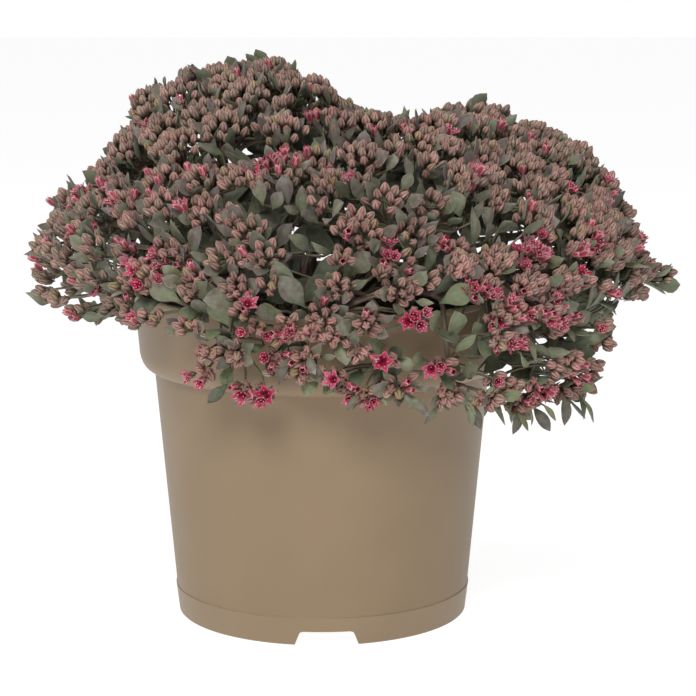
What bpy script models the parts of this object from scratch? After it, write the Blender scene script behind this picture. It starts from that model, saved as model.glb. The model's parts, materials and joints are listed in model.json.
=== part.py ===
"""A low mounding stonecrop in bud and first flower, standing in its round nursery pot.

Metres, +Z up. The origin is the middle of the pot's foot, on the surface it stands on, and the
plant's front faces -Y. The pot, the compost, each clump of leafy stems and each flower head is
an object of its own. A clump is the stems of one sector of the mound, grown from one crown.
The heads share out the surface of the mound between them, with a gap for leaves round each.
"""

import math
import random
from typing import NamedTuple

import bmesh
import bpy
from mathutils import Matrix, Vector
from mathutils.bvhtree import BVHTree
from mathutils.geometry import delaunay_2d_cdt

MM = 0.001
UP = Vector((0, 0, 1))
SEED = 27

# The pot, all sizes measured to its outer face unless a name says otherwise
RIM_RADIUS = 95.0 * MM
POT_HEIGHT = 165.0 * MM
WALL = 1.8 * MM
FOOT_RADIUS = 73.2 * MM
FOOT_RING_WIDTH = 2.2 * MM
FOOT_HEIGHT = 14.0 * MM
FOOT_LEDGE = 0.3 * MM
FLOOR_LIFT = 8.0 * MM
BODY_TOP_RADIUS = 84.5 * MM
BAND_BOTTOM = 125.5 * MM
BAND_LIP = 2.0 * MM
SHOULDER_HEIGHT = 10.5 * MM
SHOULDER_RADIUS = 92.0 * MM
BEAD_HEIGHT = 2.6 * MM
BEAD_PROUD = 0.7 * MM
POT_SIDES = 32
NOTCH_COUNT = 3
NOTCH_TURN = math.radians(1.6)
NOTCH_TOP_WIDTH = 25.0 * MM
NOTCH_FOOT_WIDTH = 31.0 * MM
NOTCH_HEIGHT = 7.0 * MM
DRAIN_COUNT = 5
DRAIN_RADIUS = 4.5 * MM
DRAIN_CIRCLE = 46.0 * MM

# The compost
SOIL_BELOW_RIM = 15.0 * MM
SOIL_MOUND = 3.0 * MM
GAP = 0.3 * MM
SOIL_TOP = POT_HEIGHT - SOIL_BELOW_RIM

# The mound: how far its surface lies from its middle
MOUND_CENTRE = Vector((8.0, 4.0, 165.0)) * MM
MOUND_RIGHT = 160.0 * MM
MOUND_LEFT = 156.0 * MM
MOUND_FRONT = 124.0 * MM
MOUND_BACK = 126.0 * MM
MOUND_RISE = 104.0 * MM
MOUND_DROP = 110.0 * MM
MOUND_HEADS = 29
MOUND_LOWEST = 0.04
GOLDEN_ANGLE = math.radians(137.508)
SPIRAL_TURN = math.radians(20.0)


class Swell(NamedTuple):
    """A place where the mound stands higher, or lower where lift is negative."""

    x: float
    y: float
    lift: float
    spread: float


SWELLS = (
    Swell(-46 * MM, 10 * MM, 17 * MM, 34 * MM),
    Swell(-92 * MM, 5 * MM, 16 * MM, 18 * MM),
    Swell(80 * MM, 0 * MM, 4 * MM, 26 * MM),
    Swell(29 * MM, -5 * MM, -26 * MM, 20 * MM),
    Swell(18 * MM, 40 * MM, -10 * MM, 26 * MM),
    Swell(130 * MM, 0 * MM, 7 * MM, 20 * MM),
    Swell(-112 * MM, 0 * MM, -5 * MM, 24 * MM),
)

# The heads that hang over the rim, and one that stands out past the right: degrees round the
# pot, height, half width and distance out from the mound's surface in mm
TRAILS = (
    (-152, 164, 15, 0),
    (-119, 159, 11, 0),
    (-112, 147, 14, 0),
    (-99, 151, 12, 0),
    (-82, 135, 13, 0),
    (-65, 125, 15, 0),
    (-49, 121, 15, 0),
    (-34, 121, 18, 0),
    (-23, 140, 16, 0),
    (2, 171, 11, 15),
    (20, 144, 18, 0),
    (48, 142, 18, 0),
    (74, 141, 18, 0),
    (100, 140, 18, 0),
    (126, 143, 18, 0),
    (152, 148, 18, 0),
    (178, 163, 15, 0),
)

# Heads, in distances below the surface of the mound
CELL_GAP = 2.0 * MM
CELL_LIMIT = 36.0 * MM
CELL_ROUND = 12
BUD_SPACING = 9.2 * MM
BUD_RISE = 8.0 * MM
TRAIL_BUD_RISE = 6.5 * MM
BUD_SPLAY = 0.24
LUMP_RADIUS = 12.5 * MM
LUMP_REACH = 11.5 * MM
LUMP_DROP = 9.0 * MM
LUMP_SPACING = 20.0 * MM
EDGE_DROP = 1.5 * MM
HEAD_DEPTH = 24.0 * MM
TRAIL_DEPTH = 15.0 * MM
FLOWER_SPAN = 6.0 * MM

# Clumps, stems and leaves
CLUMPS = 12
CLUMP_TRIES = 8
CLUMP_RINGS = (22.0 * MM, 44.0 * MM)
CROWN_RADIUS = 5.0 * MM
CROWN_DEPTH = 20.0 * MM
CROWN_SIDES = 5
STEM_RADIUS = 1.5 * MM
STEM_TIP_RADIUS = 1.1 * MM
STEM_POINTS = 5
OVER_RIM = 7.0 * MM
LEAF_COUNT = 112
LEAF_TRIALS = 2600
LEAF_LENGTH = 21.0 * MM
LEAF_REACH = (20.0 * MM, 56.0 * MM)
LEAF_WIDTH = 12.0 * MM
LEAF_THICKNESS = 1.8 * MM
LEAF_STALK = 0.8 * MM
LEAF_CLEARANCE = 0.45 * MM


class Head(NamedTuple):
    """A flower head: its direction from the mound's middle, half width, depth and reach past it."""

    way: Vector
    limit: float
    depth: float
    trailing: bool
    out: float


def clear_scene():
    """Removes every object that the file opened with."""
    for obj in list(bpy.data.objects):
        bpy.data.objects.remove(obj)


def material(name, colour, roughness):
    """A plain principled material; colour is linear red, green and blue."""
    made = bpy.data.materials.new(name)
    made.use_nodes = True
    shader = made.node_tree.nodes["Principled BSDF"]
    shader.inputs["Base Color"].default_value = (*colour, 1)
    shader.inputs["Roughness"].default_value = roughness
    shader.inputs["Metallic"].default_value = 0.0
    made.diffuse_color = (*colour, 1)
    return made


def add_object(name, bm, finish=None):
    """A new object in the scene that holds the bmesh, which is freed."""
    mesh = bpy.data.meshes.new(name)
    bm.to_mesh(mesh)
    bm.free()
    obj = bpy.data.objects.new(name, mesh)
    bpy.context.scene.collection.objects.link(obj)
    if finish:
        mesh.materials.append(finish)
    return obj


def evaluated_mesh(obj, name):
    """The object's mesh with its modifiers applied."""
    graph = bpy.context.evaluated_depsgraph_get()
    mesh = bpy.data.meshes.new_from_object(obj.evaluated_get(graph))
    mesh.name = name
    return mesh


def combine(obj, others, operation, solver):
    """Applies one Boolean of the other objects, as a collection, to obj, and removes them."""
    tools = bpy.data.collections.new(obj.name + "_tools")
    bpy.context.scene.collection.children.link(tools)
    for other in others:
        bpy.context.scene.collection.objects.unlink(other)
        tools.objects.link(other)
    boolean = obj.modifiers.new("combine", "BOOLEAN")
    boolean.operation = operation
    boolean.operand_type = "COLLECTION"
    boolean.collection = tools
    boolean.solver = solver
    finished = evaluated_mesh(obj, obj.name)
    obj.modifiers.clear()
    obj.data = finished
    for other in others:
        bpy.data.objects.remove(other)
    bpy.data.collections.remove(tools)
    keep_largest_part(obj)
    return obj


def connected_parts(bm):
    """The bmesh's faces, sorted into parts that hang together."""
    left = set(bm.faces)
    parts = []
    while left:
        part = set()
        edge = {left.pop()}
        while edge:
            part |= edge
            edge = {near for face in edge for e in face.edges for near in e.link_faces} - part
        left -= part
        parts.append(part)
    return parts


def keep_largest_part(obj):
    """Drops loose scraps, and fills hollows that the union sealed."""
    bm = surface_of(obj)
    parts = sorted(connected_parts(bm), key=len)
    if len(parts) > 1:
        loose = [face for part in parts[:-1] for face in part]
        bmesh.ops.delete(bm, geom=loose, context="FACES")
    cut_to_triangles(bm)
    bm.to_mesh(obj.data)
    bm.free()


def cut_faces(bm, by_ears):
    """Cuts the faces to triangles, those in by_ears with the other method."""
    bm.faces.ensure_lookup_table()
    eared = [bm.faces[k] for k in by_ears]
    others = [face for k, face in enumerate(bm.faces) if k not in by_ears]
    bmesh.ops.triangulate(bm, faces=others, ngon_method="BEAUTY")
    bmesh.ops.triangulate(bm, faces=eared, ngon_method="EAR_CLIP")


def cut_to_triangles(bm):
    """Cuts the faces to triangles, so that no two faces are cut along the same line."""
    bm.verts.index_update()
    by_ears = set()
    for _ in range(12):
        trial = bm.copy()
        cut_faces(trial, by_ears)
        ends = [{v.index for v in edge.verts} for edge in trial.edges if len(edge.link_faces) > 2]
        trial.free()
        fresh = [
            k for k, face in enumerate(bm.faces)
            if k not in by_ears and len(face.verts) > 3
            and any(pair <= {v.index for v in face.verts} for pair in ends)
        ]
        if not fresh:
            break
        by_ears.add(fresh[-1])
    cut_faces(bm, by_ears)


def surface_of(obj):
    """The object's mesh as a bmesh."""
    bm = bmesh.new()
    bm.from_mesh(obj.data)
    return bm


def shade_round(obj, crease_degrees):
    """Smooth shading, but for edges sharper than the crease."""
    obj.data.shade_smooth()
    obj.data.set_sharp_from_angle(angle=math.radians(crease_degrees))


def turned(profile, sides):
    """A bmesh of the closed outline of (radius, height) points, turned round the Z axis."""
    bm = bmesh.new()
    ring = [bm.verts.new((radius, 0, height)) for radius, height in profile]
    for a, b in zip(ring, ring[1:]):
        bm.edges.new((a, b))
    if profile[0][0] > 0:
        bm.edges.new((ring[-1], ring[0]))
    bmesh.ops.spin(
        bm,
        geom=bm.verts[:] + bm.edges[:],
        cent=(0, 0, 0),
        axis=(0, 0, 1),
        angle=math.tau,
        steps=sides,
        use_merge=True,
    )
    bmesh.ops.remove_doubles(bm, verts=bm.verts, dist=0.01 * MM)
    bmesh.ops.recalc_face_normals(bm, faces=bm.faces)
    return bm


def inner_body_radius(height):
    """The pot's inner radius at a height in its tapered body."""
    share = height / BAND_BOTTOM
    return FOOT_RADIUS + (BODY_TOP_RADIUS - FOOT_RADIUS) * share - WALL


def pot_profile():
    """The pot's wall, from the middle of its floor out, over the rim and down to the foot."""
    foot_slope = (BODY_TOP_RADIUS - FOOT_RADIUS) / BAND_BOTTOM
    ledge_radius = FOOT_RADIUS + foot_slope * FOOT_HEIGHT
    floor_top = FLOOR_LIFT + WALL
    shoulder_top = BAND_BOTTOM + SHOULDER_HEIGHT
    band_top_radius = RIM_RADIUS - BEAD_PROUD
    inner_foot = FOOT_RADIUS - FOOT_RING_WIDTH
    inner = (
        (0, floor_top),
        (inner_body_radius(floor_top), floor_top),
        (inner_body_radius(BAND_BOTTOM), BAND_BOTTOM + WALL),
        (SHOULDER_RADIUS - WALL, shoulder_top),
        (band_top_radius - WALL, POT_HEIGHT),
    )
    outer = (
        (RIM_RADIUS - 0.4 * MM, POT_HEIGHT),
        (RIM_RADIUS, POT_HEIGHT - 0.6 * MM),
        (RIM_RADIUS, POT_HEIGHT - BEAD_HEIGHT),
        (band_top_radius, POT_HEIGHT - BEAD_HEIGHT - 0.4 * MM),
        (SHOULDER_RADIUS, shoulder_top),
        (SHOULDER_RADIUS - 1.2 * MM, BAND_BOTTOM + 0.45 * SHOULDER_HEIGHT),
        (BODY_TOP_RADIUS + BAND_LIP, BAND_BOTTOM),
        (BODY_TOP_RADIUS, BAND_BOTTOM),
        (ledge_radius, FOOT_HEIGHT + FOOT_LEDGE),
        (ledge_radius + FOOT_LEDGE, FOOT_HEIGHT),
        (FOOT_RADIUS, 0),
        (inner_foot, 0),
        (inner_foot + 0.4 * MM, FLOOR_LIFT),
        (0, FLOOR_LIFT),
    )
    return inner + outer


def notch_cutter(turn):
    """A wedge that cuts one drainage notch through the foot, wider at the ground."""
    bm = bmesh.new()
    inner = FOOT_RADIUS - 9 * MM
    below = -2 * MM
    spread = (NOTCH_FOOT_WIDTH - NOTCH_TOP_WIDTH) / 2 / NOTCH_HEIGHT
    foot_half = NOTCH_TOP_WIDTH / 2 + spread * (NOTCH_HEIGHT - below)
    outline = (
        (-foot_half, below),
        (foot_half, below),
        (NOTCH_TOP_WIDTH / 2 + 1 * MM, NOTCH_HEIGHT - 1.4 * MM),
        (NOTCH_TOP_WIDTH / 2 - 1 * MM, NOTCH_HEIGHT),
        (1 * MM - NOTCH_TOP_WIDTH / 2, NOTCH_HEIGHT),
        (-NOTCH_TOP_WIDTH / 2 - 1 * MM, NOTCH_HEIGHT - 1.4 * MM),
    )
    face = bm.faces.new([bm.verts.new((inner, across, up)) for across, up in outline])
    pushed = bmesh.ops.extrude_face_region(bm, geom=[face])["geom"]
    outward = [v for v in pushed if isinstance(v, bmesh.types.BMVert)]
    bmesh.ops.translate(bm, verts=outward, vec=(16 * MM, 0, 0))
    bmesh.ops.rotate(bm, verts=bm.verts, matrix=Matrix.Rotation(turn, 3, "Z"))
    bmesh.ops.recalc_face_normals(bm, faces=bm.faces)
    return add_object("notch_cutter", bm)


def prism(radius, sides, bottom, top, at):
    """A bmesh of an upright prism with its axis at the point at."""
    bm = bmesh.new()
    bmesh.ops.create_cone(
        bm,
        cap_ends=True,
        segments=sides,
        radius1=radius,
        radius2=radius,
        depth=top - bottom,
        matrix=Matrix.Translation((at[0], at[1], (top + bottom) / 2)),
    )
    return bm


def make_pot(finish):
    """The nursery pot: tapered body, rim band with its bead, notched foot and drain holes."""
    pot = add_object("pot", turned(pot_profile(), POT_SIDES), finish)
    cutters = []
    for k in range(NOTCH_COUNT):
        turn = -math.pi / 2 + NOTCH_TURN + k * math.tau / NOTCH_COUNT
        cutters.append(notch_cutter(turn))
    for k in range(DRAIN_COUNT):
        angle = (k + 0.5) * math.tau / DRAIN_COUNT
        at = (DRAIN_CIRCLE * math.cos(angle), DRAIN_CIRCLE * math.sin(angle))
        bm = prism(DRAIN_RADIUS, 8, FLOOR_LIFT - 2 * MM, FLOOR_LIFT + 4 * MM, at)
        cutters.append(add_object("drain_cutter", bm))
    combine(pot, cutters, "DIFFERENCE", "EXACT")
    shade_round(pot, 30)


def make_soil(crowns, finish):
    """The compost that fills the pot, with a plain hole for each clump's crown."""
    bottom = FLOOR_LIFT + WALL + GAP
    band_inner = SHOULDER_RADIUS - WALL - GAP
    profile = (
        (0, bottom),
        (inner_body_radius(bottom) - GAP, bottom),
        (inner_body_radius(BAND_BOTTOM) - GAP, BAND_BOTTOM),
        (inner_body_radius(BAND_BOTTOM) - GAP, BAND_BOTTOM + SHOULDER_HEIGHT),
        (band_inner, BAND_BOTTOM + SHOULDER_HEIGHT + 1.5 * MM),
        (band_inner, SOIL_TOP - 0.6 * MM),
        (0, SOIL_TOP + SOIL_MOUND),
    )
    soil = add_object("soil", turned(profile, POT_SIDES), finish)
    cutters = []
    for crown in crowns:
        bm = prism(CROWN_RADIUS + 1.5 * GAP, CROWN_SIDES, SOIL_TOP - CROWN_DEPTH - GAP,
                   SOIL_TOP + 12 * MM, crown)
        cutters.append(add_object("crown_hole", bm))
    combine(soil, cutters, "DIFFERENCE", "EXACT")


def swell_at(x, y):
    """How far the mound stands above its plain form at a point."""
    return sum(
        s.lift * math.exp(-((x - s.x) ** 2 + (y - s.y) ** 2) / (2 * s.spread**2))
        for s in SWELLS
    )


def mound_point(way, below):
    """The point at a distance below the mound's surface, in a direction from its middle."""
    half_x = MOUND_RIGHT if way.x > 0 else MOUND_LEFT
    half_y = MOUND_BACK if way.y > 0 else MOUND_FRONT
    half_z = MOUND_RISE if way.z > 0 else MOUND_DROP
    out = Vector((way.x * half_x, way.y * half_y, way.z * half_z))
    out.z += swell_at(out.x, out.y) * max(0.0, min(1.0, 4 * way.z))
    return MOUND_CENTRE + out * (1 - below / out.length)


def plan_heads():
    """Heads spread over the mound by the golden angle, and those that hang over the rim."""
    heads = []
    for i in range(MOUND_HEADS):
        rise = 1 - (1 - MOUND_LOWEST) * (i + 0.5) / MOUND_HEADS
        out = math.sqrt(1 - rise * rise)
        angle = i * GOLDEN_ANGLE + SPIRAL_TURN
        way = Vector((out * math.cos(angle), out * math.sin(angle), rise))
        depth = HEAD_DEPTH if rise > 0.4 else TRAIL_DEPTH + 4 * MM
        heads.append(Head(way, CELL_LIMIT, depth, False, 0))
    for azimuth, height, half_width, past in TRAILS:
        angle = math.radians(azimuth)
        rise = (height * MM - MOUND_CENTRE.z) / MOUND_DROP
        out = math.sqrt(1 - rise * rise)
        way = Vector((out * math.cos(angle), out * math.sin(angle), rise))
        hangs = height < POT_HEIGHT / MM
        heads.append(Head(way, half_width * MM, TRAIL_DEPTH, hangs, past * MM))
    return heads


def plane_axes(way):
    """Two directions across a direction: the first level, the second rising."""
    level = Vector((-way.y, way.x, 0)).normalized()
    return level, way.cross(level).normalized()


def direction(way, spot):
    """The direction that a spot in the plane across way stands for."""
    level, rising = plane_axes(way)
    return (way + level * spot.x + rising * spot.y).normalized()


def cut_outline(outline, normal, offset):
    """The part of a convex outline where normal . spot + offset is not negative."""
    kept = []
    for a, b in zip(outline, outline[1:] + outline[:1]):
        side_a = normal.dot(a) + offset
        side_b = normal.dot(b) + offset
        if side_a >= 0:
            kept.append(a)
        if (side_a >= 0) != (side_b >= 0):
            kept.append(a.lerp(b, side_a / (side_a - side_b)))
    return kept


def cell_outline(heads, i, gap):
    """The share of the mound that is nearest to head i, as an outline across its direction."""
    way = heads[i].way
    level, rising = plane_axes(way)
    size = (mound_point(way, 0) - MOUND_CENTRE).length
    reach = heads[i].limit / size
    outline = []
    for k in range(CELL_ROUND):
        angle = k * math.tau / CELL_ROUND
        outline.append(Vector((reach * math.cos(angle), reach * math.sin(angle))))
    for j, other in enumerate(heads):
        if j == i or way.dot(other.way) < 0.3:
            continue
        weight = 0.5
        if heads[i].limit > other.limit:
            weight = 0.5 + 0.12 * (1 - other.limit / heads[i].limit)
        elif other.limit > heads[i].limit:
            weight = 0.5 - 0.12 * (1 - heads[i].limit / other.limit)
        apart = way - other.way
        middle = way.lerp(other.way, weight)
        plane = apart - middle * (apart.dot(middle) / middle.length_squared)
        normal = Vector((plane.dot(level), plane.dot(rising)))
        steep = normal.length
        if steep > 1e-6:
            outline = cut_outline(outline, normal / steep, plane.dot(way) / steep - gap / size)
    return outline


def even_outline(outline, spacing):
    """Points at even steps round an outline, which rounds its corners."""
    ends = outline[1:] + outline[:1]
    total = sum((b - a).length for a, b in zip(outline, ends))
    count = max(6, round(total / spacing))
    spots = []
    step = total / count
    left = step / 2
    for a, b in zip(outline, ends):
        run = (b - a).length
        while left < run:
            spots.append(a.lerp(b, left / run))
            left += step
        left -= run
    return spots


def inside(outline, spot, margin):
    """Whether a spot lies in a convex outline, at least margin from its edge."""
    for a, b in zip(outline, outline[1:] + outline[:1]):
        edge = (b - a).normalized()
        if edge.x * (spot.y - a.y) - edge.y * (spot.x - a.x) < margin:
            return False
    return True


def lattice(outline, spacing, margin, chance):
    """Spots on a jittered triangular lattice inside the outline."""
    reach = max(spot.length for spot in outline)
    rows = math.ceil(reach / (spacing * 0.87)) + 1
    shift = Vector((chance.uniform(-0.5, 0.5), chance.uniform(-0.5, 0.5))) * spacing
    spots = []
    for row in range(-rows, rows + 1):
        for column in range(-rows, rows + 1):
            spot = Vector((column + 0.5 * (row % 2), row * 0.87)) * spacing + shift
            spot += Vector((chance.uniform(-0.12, 0.12), chance.uniform(-0.12, 0.12))) * spacing
            if inside(outline, spot, margin):
                spots.append(spot)
    return spots


def lump_height(lumps, spot, radius):
    """How far up its lump a spot is, from 0 between lumps to 1 on top, and the nearest lump."""
    near = min(lumps, key=lambda lump: (lump - spot).length)
    return max(0.0, 1 - ((near - spot).length / radius) ** 2), near


def drawn_in(spot, lumps, reach):
    """A spot on the head's edge, drawn in to within reach of its nearest lump."""
    near = min(lumps, key=lambda lump: (lump - spot).length)
    out = spot - near
    return near + out * min(1.0, reach / out.length)


def clear_of(spot, rim, apart, reach, lumps):
    """Whether a spot keeps its distance from the edge and is on a lump."""
    on_lump = any((lump - spot).length < reach - 0.5 * apart for lump in lumps)
    return on_lump and all((edge - spot).length > apart for edge in rim)


def head_mesh(heads, i, chance):
    """One head: lumps of pointed buds over its cell, drawn in to a neck where its stem ends."""
    head = heads[i]
    size = (mound_point(head.way, 0) - MOUND_CENTRE).length
    bud_rise = TRAIL_BUD_RISE if head.trailing else BUD_RISE
    lump_drop = LUMP_DROP * head.depth / HEAD_DEPTH
    outline = cell_outline(heads, i, CELL_GAP)
    spacing = BUD_SPACING / size
    lumps = lattice(outline, LUMP_SPACING / size, 0.45 * spacing, chance) or [Vector((0, 0))]
    rim = [drawn_in(spot, lumps, LUMP_REACH / size) for spot in even_outline(outline, spacing)]
    inner = lattice(outline, spacing, 0.55 * spacing, chance)
    spots = rim + [s for s in inner if clear_of(s, rim, 0.6 * spacing, LUMP_REACH / size, lumps)]
    ring = [(k, (k + 1) % len(rim)) for k in range(len(rim))]
    spots, _, faces, _, _, _ = delaunay_2d_cdt(spots, ring, [], 1, 1e-6)
    bm = bmesh.new()
    base = []
    for k, spot in enumerate(spots):
        lift, _ = lump_height(lumps, spot, LUMP_RADIUS / size)
        below = bud_rise + lump_drop * (1 - lift) + (EDGE_DROP if k < len(rim) else 0)
        base.append(bm.verts.new(mound_point(direction(head.way, spot), below - head.out)))
    for face in faces:
        bm.faces.new([base[k] for k in face])
    tips = []
    for face in faces:
        corners = [spots[k] for k in face]
        middle = sum(corners, Vector((0, 0))) / len(corners)
        lift, near = lump_height(lumps, middle, LUMP_RADIUS / size)
        below = 0.7 * lump_drop * (1 - lift) + chance.uniform(-0.4, 1.4) * MM
        spot = middle + (middle - near) * BUD_SPLAY
        if not inside(outline, spot, 0):
            spot = middle
        tips.append(mound_point(direction(head.way, spot), below - head.out))
    hem = [e for e in bm.edges if e.is_boundary]
    poked = bmesh.ops.poke(bm, faces=bm.faces[:])["verts"]
    for v, tip in zip(poked, tips):
        v.co = tip
    foot = bm.verts.new(head_foot(head))
    for edge in hem:
        bm.faces.new((*edge.verts, foot))
    bmesh.ops.recalc_face_normals(bm, faces=bm.faces)
    return bm


def head_foot(head):
    """Where the head joins its stem: under its middle, or at the rim's edge if it hangs."""
    place = mound_point(head.way, head.depth - head.out)
    if not head.trailing:
        return place
    flat = Vector((place.x, place.y, 0)).normalized()
    place = flat * (RIM_RADIUS + 9 * MM)
    rise = min(mound_point(head.way, 0).z + 8 * MM, POT_HEIGHT + 1 * MM)
    return place + UP * rise


def stem_foot(head):
    """The end of the head's stem, and the direction it arrives in."""
    place = head_foot(head)
    if head.trailing:
        flat = Vector((place.x, place.y, 0)).normalized()
        along = (flat * 0.75 - UP * 0.66).normalized()
    else:
        along = (place - MOUND_CENTRE).normalized()
        if head.way.z < 0.35:
            along = (along + UP * 0.15).normalized()
    return place - along * 0.9 * MM, along


def sector_of(head):
    """The number of the sector that the head's stem grows in."""
    angle = math.atan2(head.way.y, head.way.x)
    return int((angle + math.pi) / math.tau * CLUMPS) % CLUMPS


def crown_places():
    """Where each clump's crown stands in the compost."""
    crowns = []
    for k in range(CLUMPS):
        angle = (k + 0.5) * math.tau / CLUMPS - math.pi
        ring = CLUMP_RINGS[k % 2]
        crowns.append(Vector((ring * math.cos(angle), ring * math.sin(angle), SOIL_TOP)))
    return crowns


def bezier(start, leave, arrive, end, count):
    """Points along a cubic curve."""
    points = []
    for k in range(count):
        t = k / (count - 1)
        s = 1 - t
        points.append(
            start * s**3 + leave * 3 * s * s * t + arrive * 3 * s * t * t + end * t**3
        )
    return points


def stem_route(crown, head, number):
    """The stem's line: up from the crown, over the rim if it must, and in under the head."""
    end, along = stem_foot(head)
    outward = Vector((end.x, end.y, 0)).normalized()
    turn = number * GOLDEN_ANGLE
    start = crown + UP * 2.0 * MM + Vector((math.cos(turn), math.sin(turn), 0)) * 2.3 * MM
    run = (end - start).length
    if end.z < POT_HEIGHT + OVER_RIM + 8 * MM:
        over = outward * (RIM_RADIUS - 6 * MM) + UP * (POT_HEIGHT + OVER_RIM)
        inner = bezier(start, start + UP * 0.4 * run, over - outward * 0.3 * run, over,
                       STEM_POINTS - 1)
        rest = outward * (RIM_RADIUS + 2 * MM) + UP * (POT_HEIGHT + 0.8 * OVER_RIM)
        return inner + [rest, end]
    lift = UP * (0.30 if head.way.z > 0.4 else 0.42) * run
    return bezier(start, start + lift, end - along * 0.42 * run, end, STEM_POINTS)


def stem_object(route, number):
    """A four-sided tapering tube along the route, rooted in the crown."""
    curve = bpy.data.curves.new("stem", "CURVE")
    curve.dimensions = "3D"
    curve.bevel_depth = 1.0
    curve.bevel_resolution = 0
    curve.use_fill_caps = True
    points = [route[0] - UP * 5 * MM] + route
    spline = curve.splines.new("POLY")
    spline.points.add(len(points) - 1)
    for k, point in enumerate(points):
        share = k / (len(points) - 1)
        spline.points[k].co = (*point, 1)
        spline.points[k].radius = STEM_RADIUS + (STEM_TIP_RADIUS - STEM_RADIUS) * share
        spline.points[k].tilt = number * GOLDEN_ANGLE
    obj = bpy.data.objects.new("stem", curve)
    bpy.context.scene.collection.objects.link(obj)
    solid = bpy.data.objects.new("stem_solid", evaluated_mesh(obj, "stem"))
    bpy.context.scene.collection.objects.link(solid)
    bpy.data.objects.remove(obj)
    bm = surface_of(solid)
    bmesh.ops.remove_doubles(bm, verts=bm.verts, dist=0.001 * MM)
    bmesh.ops.recalc_face_normals(bm, faces=bm.faces)
    bm.to_mesh(solid.data)
    bm.free()
    return solid


LEAF_OUTLINE = ((3.2, 0.36), (9.0, 0.50), (19.5, 0.0))


def leaf_mesh(length, width, thickness, stalk, bend):
    """A fleshy spoon-shaped leaf on its stalk, from the origin along +X, bent towards +Z."""
    bm = bmesh.new()
    blade = LEAF_LENGTH

    def spine(back):
        """The point on the leaf's middle line at a distance back from its tip."""
        ahead = max(0.0, blade - back)
        angle = bend * ahead / blade
        along = length - blade - max(0.0, back - blade) + ahead * math.cos(angle / 2)
        return Vector((along, 0, ahead * math.sin(angle / 2)))

    sides = []
    for back, half in LEAF_OUTLINE:
        across = max(half * width, stalk)
        lift = 0.25 * across
        sides.append([spine(back * MM) + Vector((0, way * across, lift)) for way in (1, -1)])
    keel = Vector((0, 0, -1.6 * stalk))
    left = [bm.verts.new(pair[0]) for pair in sides]
    right = [bm.verts.new(pair[1]) for pair in sides]
    rim = [bm.verts.new(spine(0))] + left + right[::-1]
    middle = spine(9.5 * MM) - Vector((0, 0, 0.3 * MM))
    upper = bm.verts.new(middle + Vector((0, 0, thickness / 2)))
    lower = bm.verts.new(middle - Vector((0, 0, thickness / 2)))
    base = (left[-1], right[-1], bm.verts.new(spine(19.5 * MM) + keel))
    root = [bm.verts.new(point) for point in ((0, stalk, 0), (0, -stalk, 0), keel)]
    for a, b in zip(rim, rim[1:] + rim[:1]):
        bm.faces.new((a, b, upper))
        if (a, b) != base[:2]:
            bm.faces.new((b, a, lower))
    bm.faces.new((base[0], base[2], lower))
    bm.faces.new((base[2], base[1], lower))
    for k in range(3):
        j = (k + 1) % 3
        bm.faces.new((base[k], base[j], root[j], root[k]))
    bm.faces.new(root)
    bmesh.ops.triangulate(bm, faces=bm.faces)
    bmesh.ops.recalc_face_normals(bm, faces=bm.faces)
    return bm


def leaf_matrix(root, tip, twist):
    """Places a leaf from root to tip, turned about its own length."""
    along = (tip - root).normalized()
    across = UP.cross(along)
    if across.length < 0.05:
        across = Vector((1, 0, 0))
    across = Matrix.Rotation(twist, 3, along) @ across.normalized()
    face = along.cross(across).normalized()
    placed = Matrix((along, across, face)).transposed().to_4x4()
    placed.translation = root
    return placed


def point_on(route, share):
    """The point at a share of the route's length."""
    steps = [(b - a).length for a, b in zip(route, route[1:])]
    left = share * sum(steps)
    for a, b, step in zip(route, route[1:], steps):
        if left <= step:
            return a.lerp(b, left / step)
        left -= step
    return route[-1]


class Placed(NamedTuple):
    """The surface of something already placed, with a ball round it for a quick test."""

    tree: BVHTree
    centre: Vector
    reach: float
    owner: int


def placed_from(bm, owner):
    """What a bmesh takes up, as something that later leaves keep clear of."""
    centre = sum((v.co for v in bm.verts), Vector()) / len(bm.verts)
    reach = max((v.co - centre).length for v in bm.verts)
    return Placed(BVHTree.FromBMesh(bm), centre, reach, owner)


def is_clear(bm, placed, skip):
    """Whether the bmesh crosses nothing that is placed, apart from the owner to skip."""
    if not all(in_free_space(v.co) for v in bm.verts):
        return False
    trial = placed_from(bm, -1)
    for other in placed:
        if other.owner == skip:
            continue
        if (other.centre - trial.centre).length > other.reach + trial.reach:
            continue
        if trial.tree.overlap(other.tree):
            return False
    return True


def in_free_space(point):
    """Whether a point is clear of the pot's wall and above the compost."""
    reach = math.hypot(point.x, point.y)
    if point.z > POT_HEIGHT + 0.6 * MM:
        return True
    if reach > RIM_RADIUS + 0.8 * MM:
        return point.z > 60 * MM
    return reach < RIM_RADIUS - 5 * MM and point.z > SOIL_TOP + SOIL_MOUND + 1 * MM


def grow_leaves(heads, routes, placed):
    """The leaf meshes of each stem, each reaching up into a gap between the heads."""
    chance = random.Random(SEED)
    leaves = {i: [] for i in range(len(heads))}
    for k in range(LEAF_TRIALS):
        rise = 1 - 1.34 * ((k * 0.618034) % 1.0)
        out = math.sqrt(1 - rise * rise)
        angle = k * GOLDEN_ANGLE * 1.37
        way = Vector((out * math.cos(angle), out * math.sin(angle), rise))
        near = sorted(range(len(heads)), key=lambda i: -way.dot(heads[i].way))[:3]
        if heads_cover(placed, way):
            continue
        leaf = find_leaf(way, [(i, routes[i]) for i in near], placed, chance)
        if leaf:
            leaves[leaf[0]].append(leaf[1])
        if sum(len(own) for own in leaves.values()) >= LEAF_COUNT:
            break
    return leaves


def heads_cover(placed, way):
    """Whether a head or a leaf that is placed hides the mound in this direction."""
    start = mound_point(way, -30 * MM)
    end = mound_point(way, 16 * MM)
    aim = end - start
    for other in placed:
        hit = other.tree.ray_cast(start, aim.normalized(), aim.length)
        if hit[0]:
            return True
    return False


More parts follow.
